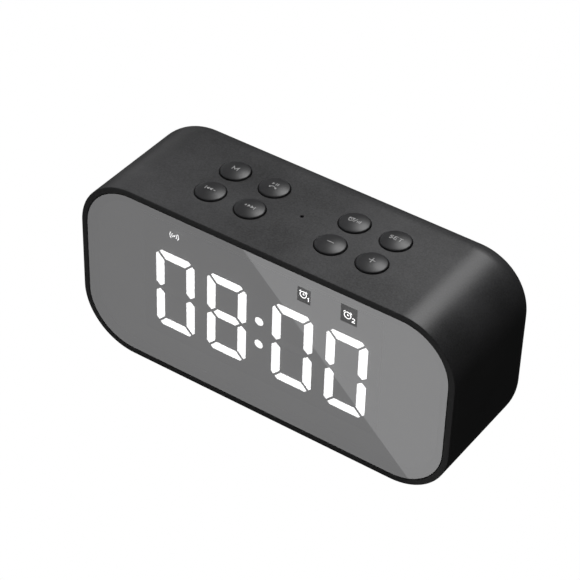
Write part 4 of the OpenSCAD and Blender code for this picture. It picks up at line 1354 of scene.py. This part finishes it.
class CLOCK_OT_buttons(Operator):
    """Makes the eight domed buttons and the legends on them"""
    bl_idname = "clock.buttons"
    bl_label = "Buttons"

    def execute(self, context):
        s = context.scene.clock_buttons
        r, dome, edge = s.cap / MM / 2, s.dome / MM, s.edge / MM
        dome_r = (r * r + dome * dome) / (2 * dome)
        stem_r, flange_rise, flange_thick, ease = 2, 2.1, 1.1, 0.15
        for key in KEYS:
            low, high = box_mm("button_" + key)
            middle = (low + high) / 2
            flange_r = (high.x - low.x) / 2
            flange_low = low.z + flange_rise
            flange_high = flange_low + flange_thick
            ball_z = high.z - INK - dome_r
            edge_z = ball_z + sqrt((dome_r - edge) ** 2 - (r - edge) ** 2)
            lean = degrees(atan2(edge_z - ball_z, r - edge))
            section = [(0, low.z), (stem_r - 0.2, low.z), (stem_r, low.z + 0.2)]
            section += [(stem_r, flange_low), (flange_r - ease, flange_low)]
            section += [(flange_r, flange_low + ease), (flange_r, flange_high - ease)]
            section += [(flange_r - ease, flange_high), (r, flange_high)]
            section += arc(r - edge, edge_z, edge, 0, lean, 5)
            section += arc(0, ball_z, dome_r, lean, 90, 12)[1:]
            bm = turned(bmesh.new(), section, middle, 72)
            piece(f"cap_{key}", bm, f"key_{key}", "button_plastic", replaces=["button_" + key])

            def on_dome(u, v, h):
                rise = sqrt(dome_r ** 2 - u * u - v * v)
                return (middle.x + u, middle.y + v, ball_z + rise + h)

            marks = bmesh.new()
            draw(marks, LEGENDS[key], on_dome, s.line / MM)
            piece(f"legend_{key}", marks, f"key_{key}", "white_plastic", ["legend_ink"])
        return {"FINISHED"}


class CLOCK_OT_display(Operator):
    """Makes the half-mirror lens and the lit signs behind it"""
    bl_idname = "clock.display"
    bl_label = "Display"

    def execute(self, context):
        s = context.scene.clock_display
        corner = context.scene.clock_housing.corner / MM
        bm = bmesh.new()
        front, back = LENS_LOW.y, LENS_HIGH.y - 0.02
        bevel_w = 0.1
        section = [(bevel_w, front), (0, front + bevel_w), (0, back)]
        rings = [body_ring(bm, LENS_INSET + inset, y, corner) for inset, y in section]
        join_rings(bm, rings)
        bm.faces.new(rings[0]).material_index = 1
        bm.faces.new(rings[-1])
        piece("lens", bm, "chassis", "mirror_lens", ["clear_acrylic", "mirror_lens"],
              replaces=["mirror_lens"], crease=20)
        signs = bmesh.new()
        for figure, middle in zip(SIGNS, sign_middles()):
            draw(signs, figure, lambda u, v, h: (middle.x + u, middle.y - h, middle.z + v),
                 s.line / MM, thick=0.02, sunk=0.04)
        piece("lit_signs", signs, "chassis", "lit_segments", ["lit_sign"])
        return {"FINISHED"}


class CLOCK_OT_sockets(Operator):
    """Makes the sockets and the ribbed slider of the power switch"""
    bl_idname = "clock.sockets"
    bl_label = "Sockets"

    def execute(self, context):
        self.jack()
        self.usb()
        self.slider()
        return {"FINISHED"}

    def jack(self):
        """Nose of the audio jack with a metal ring in its mouth."""
        low, high = box_mm("aux_jack")
        bm = cad_copy("aux_jack")
        bevel(bm, 0.15, high.y)
        piece("jack", bm, "chassis", "switch_plastic", replaces=["aux_jack"])
        bore_r, sleeve_r, ring_r, ease = 1.81, 1.95, 2.3, 0.05
        sleeve_end, ring_end = high.y - 3, high.y - 0.4
        sleeve = turned(bmesh.new(), [
            (bore_r, sleeve_end), (bore_r, high.y - ease), (bore_r + ease, high.y),
            (ring_r - ease, high.y), (ring_r, high.y - ease), (ring_r, ring_end),
            (sleeve_r, ring_end), (sleeve_r, sleeve_end),
        ], (low + high) / 2, 40, "Y", closed=True)
        piece("jack_ring", sleeve, "chassis", "socket_metal")

    def usb(self):
        """Shell of the small charging socket, its tongue and the tongue's contacts."""
        low, high = box_mm("usb_socket")
        half_w, half_h = (high.x - low.x) / 2, (high.z - low.z) / 2
        middle = (low + high) / 2
        sheet, ease, corner = 0.35, 0.1, 0.75
        bm = bmesh.new()
        section = [
            (0, low.y), (0, high.y - ease), (ease, high.y), (sheet - ease, high.y),
            (sheet, high.y - ease), (sheet, low.y + 0.6),
        ]
        rings = []
        for inset, y in section:
            outline = rounded_rectangle(half_w - inset, half_h - inset, corner - inset, 5)
            rings.append([bm.verts.new((middle.x + x, y, middle.z + z)) for x, z in outline])
        join_rings(bm, rings, ends=True)
        piece("usb_shell", bm, "chassis", "socket_metal", replaces=["usb_socket"])
        tongue_half, tongue_low, tongue_high = 2.1, middle.z - 0.1, middle.z + 0.45
        tongue = bmesh.new()
        box(tongue, (middle.x - tongue_half, low.y + 0.5, tongue_low),
            (middle.x + tongue_half, high.y - 0.8, tongue_high))
        bevel(tongue, 0.08)
        piece("usb_tongue", tongue, "chassis", "switch_plastic")
        contact_half, contact_long, count, pitch = 0.17, 3.4, 5, 0.65
        contact = bmesh.new()
        box(contact, (-contact_half, -contact_long, -0.06), (contact_half, 0, 0.02))
        bevel(contact, 0.02, segments=1)
        first = Vector((middle.x - (count - 1) / 2 * pitch, high.y - 1, tongue_low))
        steps = Vector((pitch, 0, 0)), Vector()
        contacts = rows_of(contact, first, steps, (count, 1), "gold_plate")
        piece("usb_contacts", contacts, "chassis", "socket_metal", ["gold_plate"])

    def slider(self):
        """Slider with ribs for the finger nail."""
        low, high = box_mm("switch_slider")
        rib_high, rib_half, first_rib, count, pitch = 0.25, 0.13, 0.8, 4, 0.533
        bm = bmesh.new()
        box(bm, low, high - Vector((0, rib_high, 0)))
        bevel(bm, 0.12)
        piece("slider_knob", bm, "slider", "slider_plastic", replaces=["switch_slider"])
        rib = bmesh.new()
        reach = (high.z - low.z) / 2 - 0.1
        box(rib, (-rib_half, -0.1, -reach), (rib_half, rib_high, reach))
        bevel(rib, 0.08)
        middle = (low + high) / 2
        first = Vector((middle.x - first_rib, high.y - rib_high, middle.z))
        steps = Vector((pitch, 0, 0)), Vector()
        ribs = rows_of(rib, first, steps, (count, 1), "slider_plastic")
        piece("slider_ribs", ribs, "slider", "slider_plastic")


class CLOCK_OT_speakers(Operator):
    """Makes the cones, the surrounds and the spiders"""
    bl_idname = "clock.speakers"
    bl_label = "Speakers"

    def execute(self, context):
        s = context.scene.clock_speakers
        for side in ("left", "right"):
            self.cone(side)
            self.surround(side, s.sheet / MM)
            self.spider(side)
        return {"FINISHED"}

    def cone(self, side):
        """Paper cone with a domed dust cap and its voice coil."""
        low, high = box_mm("speaker_cone_" + side)
        r, rim = (high.x - low.x) / 2, high.y
        coil_in, coil_out, neck_r, cap_r, bulge = 6.9, 7.2, 8, 7.4, 2.3
        paper, depth = 0.3, 5.1
        neck = rim - depth
        start, rise = neck + 0.15, depth - paper - 0.15
        section = [(coil_in, low.y), (coil_out, low.y), (coil_out, neck), (neck_r, start)]
        flare = [(neck_r + (r - neck_r) * t, start + rise * t ** 0.85)
                 for t in (0.15, 0.3, 0.45, 0.6, 0.75, 0.9)]
        section += flare + [(r, rim - paper), (r, rim), (r - paper, rim)]
        section += [(x - 0.25, y + paper) for x, y in reversed(flare)]
        section += [(cap_r + 0.2, neck + 0.7)]
        turns = (0.0, 0.25, 0.5, 0.8, 1.15)
        section += [(cap_r * cos(t), neck + 0.75 + bulge * sin(t)) for t in turns]
        section += [(0, neck + 0.75 + bulge), (0, neck + 0.45 + bulge)]
        section += [((cap_r - 0.4) * cos(t), neck + 0.45 + bulge * sin(t)) for t in turns[:0:-1]]
        section += [(coil_in, neck + 0.4)]
        bm = turned(bmesh.new(), section, (low + high) / 2, 72, "Y", closed=True)
        piece(f"cone_{side}_paper", bm, "cone_" + side, "cone_paper",
              replaces=["speaker_cone_" + side])

    def surround(self, side, sheet):
        """Half roll between the cone and the rim."""
        node = "speaker_surround_" + side
        low, high = box_mm(node)
        outer_r, roll_r = (high.x - low.x) / 2, high.y - low.y
        mid_r = outer_r - roll_r
        section = arc(mid_r, low.y, roll_r, 0, 180, 12)
        section += arc(mid_r, low.y, roll_r - sheet, 180, 0, 12)
        self.sectors("surround_" + side, side, section, "rubber", ["surround_rubber"], node)

    def spider(self, side):
        """Corrugated cloth disc between the coil and the basket."""
        node = "speaker_spider_" + side
        low, high = box_mm(node)
        outer_r, middle_y = (high.x - low.x) / 2, (low.y + high.y) / 2
        inner_r, waves, wave_high, cloth_half, steps = 7.25, 5, 0.09, 0.08, 32
        top, bottom = [], []
        for i in range(steps + 1):
            r = inner_r + (outer_r - inner_r) * i / steps
            y = middle_y + wave_high * sin(2 * pi * waves * i / steps)
            top.append((r, y + cloth_half))
            bottom.append((r, y - cloth_half))
        self.sectors("spider_" + side, side, top + bottom[::-1], "spider_cloth", (), node)

    def sectors(self, name, side, section, slot, materials, node, count=8, steps=8):
        """Ring in equal sectors, each a piece of its own, with its inner edge at the cone and its
        outer edge at the chassis."""
        middle = middle_of(node)
        half = pi / count
        for k in range(count):
            bm = bmesh.new()
            rings = []
            for i in range(steps + 1):
                turn = 2 * half * (k - 0.5 + i / steps)
                rings.append([
                    bm.verts.new((middle.x + r * cos(turn), h, middle.z + r * sin(turn)))
                    for r, h in section
                ])
            join_rings(bm, rings, ends=True)
            obj = piece(f"{name}_{k + 1}", bm, None, slot, materials,
                        replaces=[node] if k == 0 else [])
            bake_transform(obj)


# Each light's setting, its direction from the clock, how far away and how wide it is in
# metres, and whether it lights matt surfaces and shows in glossy ones.
LIGHTS = (
    ("key", (0.03, 0.56, 0.82), 0.9, 0.42, False, True),
    ("top", (0.1, -0.04, 0.99), 0.34, 0.25, True, False),
    ("left", (-0.8, 0.3, 0.55), 1.4, 0.8, True, False),
    ("edge", (-0.77, 0.64, 0.14), 1.3, 0.35, True, True),
    ("fill", (-0.75, -0.4, 0.5), 1.4, 0.8, True, True),
)


class CLOCK_OT_stage(Operator):
    """Sets the floor, the lights, the cards that the mirror shows and the camera"""
    bl_idname = "clock.stage"
    bl_label = "Stage"

    def execute(self, context):
        s = context.scene.clock_stage
        context.scene.view_settings.view_transform = "Standard"
        self.world(s)
        self.floor()
        self.cards(s)
        self.lights(s)
        self.camera(s)
        return {"FINISHED"}

    def world(self, s):
        """Room that is white behind the object and dim all round."""
        world = bpy.data.worlds.new("room")
        world.use_nodes = True
        room = Nodes(world.node_tree)
        dim = room.node("ShaderNodeBackground", {"Color": (s.room, s.room, s.room, 1)})[0]
        white = room.node("ShaderNodeBackground", {"Color": (1, 1, 1, 1)})[0]
        seen = room.node("ShaderNodeLightPath")["Is Camera Ray"]
        mixed = room.node("ShaderNodeMixShader", {0: seen, 1: dim, 2: white})[0]
        room.node("ShaderNodeOutputWorld", {"Surface": mixed})
        bpy.context.scene.world = world

    def glow(self, name, strength):
        """Material of a plain glowing sheet."""
        material = bpy.data.materials.new(name)
        material.use_nodes = True
        nodes = Nodes(material.node_tree)
        light = nodes.node("ShaderNodeEmission", {"Strength": strength})[0]
        nodes.node("ShaderNodeOutputMaterial", {"Surface": light})
        return material

    def sheet(self, name, corners, strength, seen_by):
        """Flat stage sheet that only one kind of ray sees."""
        mesh = bpy.data.meshes.new(name)
        mesh.from_pydata([Vector(corner) * MM for corner in corners], [], [range(len(corners))])
        mesh.materials.append(self.glow(name, strength))
        obj = link(name, mesh)
        for ray in ("camera", "diffuse", "glossy", "transmission", "volume_scatter", "shadow"):
            setattr(obj, "visible_" + ray, ray == seen_by)
        return obj

    def floor(self):
        """Wide pale floor."""
        half = 12000
        corners = [(-half, -half, 0), (half, -half, 0), (half, half, 0), (-half, half, 0)]
        self.sheet("floor", corners, 1.0, "camera")

    def cards(self, s):
        """Two cards on the floor before the clock, which the mirror shows as a two-tone sheen.
        Their seam runs through two points of the floor."""
        reach, far_left, z = 1500, -5000, 0.5
        near = BODY_LOW.y - 1
        far = near - reach
        seam_right, seam_left = Vector((53.8, -28.8)), Vector((-53.7, -91.0))
        slope = (seam_left.x - seam_right.x) / (seam_left.y - seam_right.y)
        seam_near = (seam_right.x + (near - seam_right.y) * slope, near, z)
        seam_far = (seam_right.x + (far - seam_right.y) * slope, far, z)
        left = [(-reach, near, z), seam_near, seam_far, (far_left, far, z)]
        right = [seam_near, (reach, near, z), (reach, far, z), seam_far]
        self.sheet("left_card", left, s.left_card, "glossy")
        self.sheet("right_card", right, s.right_card, "glossy")

    def lights(self, s):
        """Soft light over the back for the highlights, two for the matt tones and two weak ones."""
        middle = Vector((0, 0, MIDDLE_Z)) * MM
        for name, toward, away, wide, matt, glossy in LIGHTS:
            light = bpy.data.lights.new(name, "AREA")
            light.size = wide
            light.energy = getattr(s, name)
            obj = link(name, light)
            toward = Vector(toward).normalized()
            obj.location = middle + toward * away
            obj.rotation_euler = toward.to_track_quat("Z", "Y").to_euler()
            obj.visible_diffuse = matt
            obj.visible_glossy = glossy

    def camera(self, s):
        """Long lens that looks down on the front right corner."""
        back = Vector((
            sin(s.azimuth) * cos(s.elevation), -cos(s.azimuth) * cos(s.elevation),
            sin(s.elevation),
        ))
        right = Vector((cos(s.azimuth), sin(s.azimuth), 0))
        up = back.cross(right)
        turned_right = right * cos(s.roll) + up * sin(s.roll)
        turned_up = up * cos(s.roll) - right * sin(s.roll)
        data = bpy.data.cameras.new("camera")
        data.lens = s.lens
        data.sensor_width = 36
        data.clip_end = 100
        camera = link("camera", data)
        place = Vector((0, 0, MIDDLE_Z * MM)) + back * s.distance
        place += turned_up * s.lift - turned_right * s.aside
        turn = Matrix((turned_right, turned_up, back)).transposed()
        camera.matrix_world = Matrix.Translation(place) @ turn.to_4x4()
        bpy.context.scene.camera = camera


class CLOCK_PT_panel(Panel):
    """Lists the settings and the steps that make the clock radio"""
    bl_idname = "CLOCK_PT_panel"
    bl_label = "Clock Radio"
    bl_space_type = "VIEW_3D"
    bl_region_type = "UI"
    bl_category = "Clock Radio"

    def draw(self, context):
        for label, name, group in SETTINGS:
            column = self.layout.box()
            column.label(text=label)
            for setting in group.__annotations__:
                column.prop(getattr(context.scene, name), setting)
        for step in STEPS:
            self.layout.operator(step.bl_idname)


SETTINGS = (
    ("Housing", "clock_housing", HousingSettings),
    ("Buttons", "clock_buttons", ButtonSettings),
    ("Display", "clock_display", DisplaySettings),
    ("Grille", "clock_grille", GrilleSettings),
    ("Speakers", "clock_speakers", SpeakerSettings),
    ("Stage", "clock_stage", StageSettings),
)
STEPS = (
    CLOCK_OT_stage, CLOCK_OT_inner, CLOCK_OT_housing, CLOCK_OT_cover, CLOCK_OT_grille,
    CLOCK_OT_feet, CLOCK_OT_screws, CLOCK_OT_buttons, CLOCK_OT_display, CLOCK_OT_sockets,
    CLOCK_OT_speakers,
)


def register():
    for _, name, group in SETTINGS:
        bpy.utils.register_class(group)
        setattr(bpy.types.Scene, name, PointerProperty(type=group))
    for step in (*STEPS, CLOCK_PT_panel):
        bpy.utils.register_class(step)


def unregister():
    for step in (CLOCK_PT_panel, *reversed(STEPS)):
        bpy.utils.unregister_class(step)
    for _, name, group in SETTINGS:
        delattr(bpy.types.Scene, name)
        bpy.utils.unregister_class(group)


def main():
    register()
    for step in STEPS:
        family, name = step.bl_idname.split(".")
        getattr(getattr(bpy.ops, family), name)()


if __name__ == "__main__":
    main()
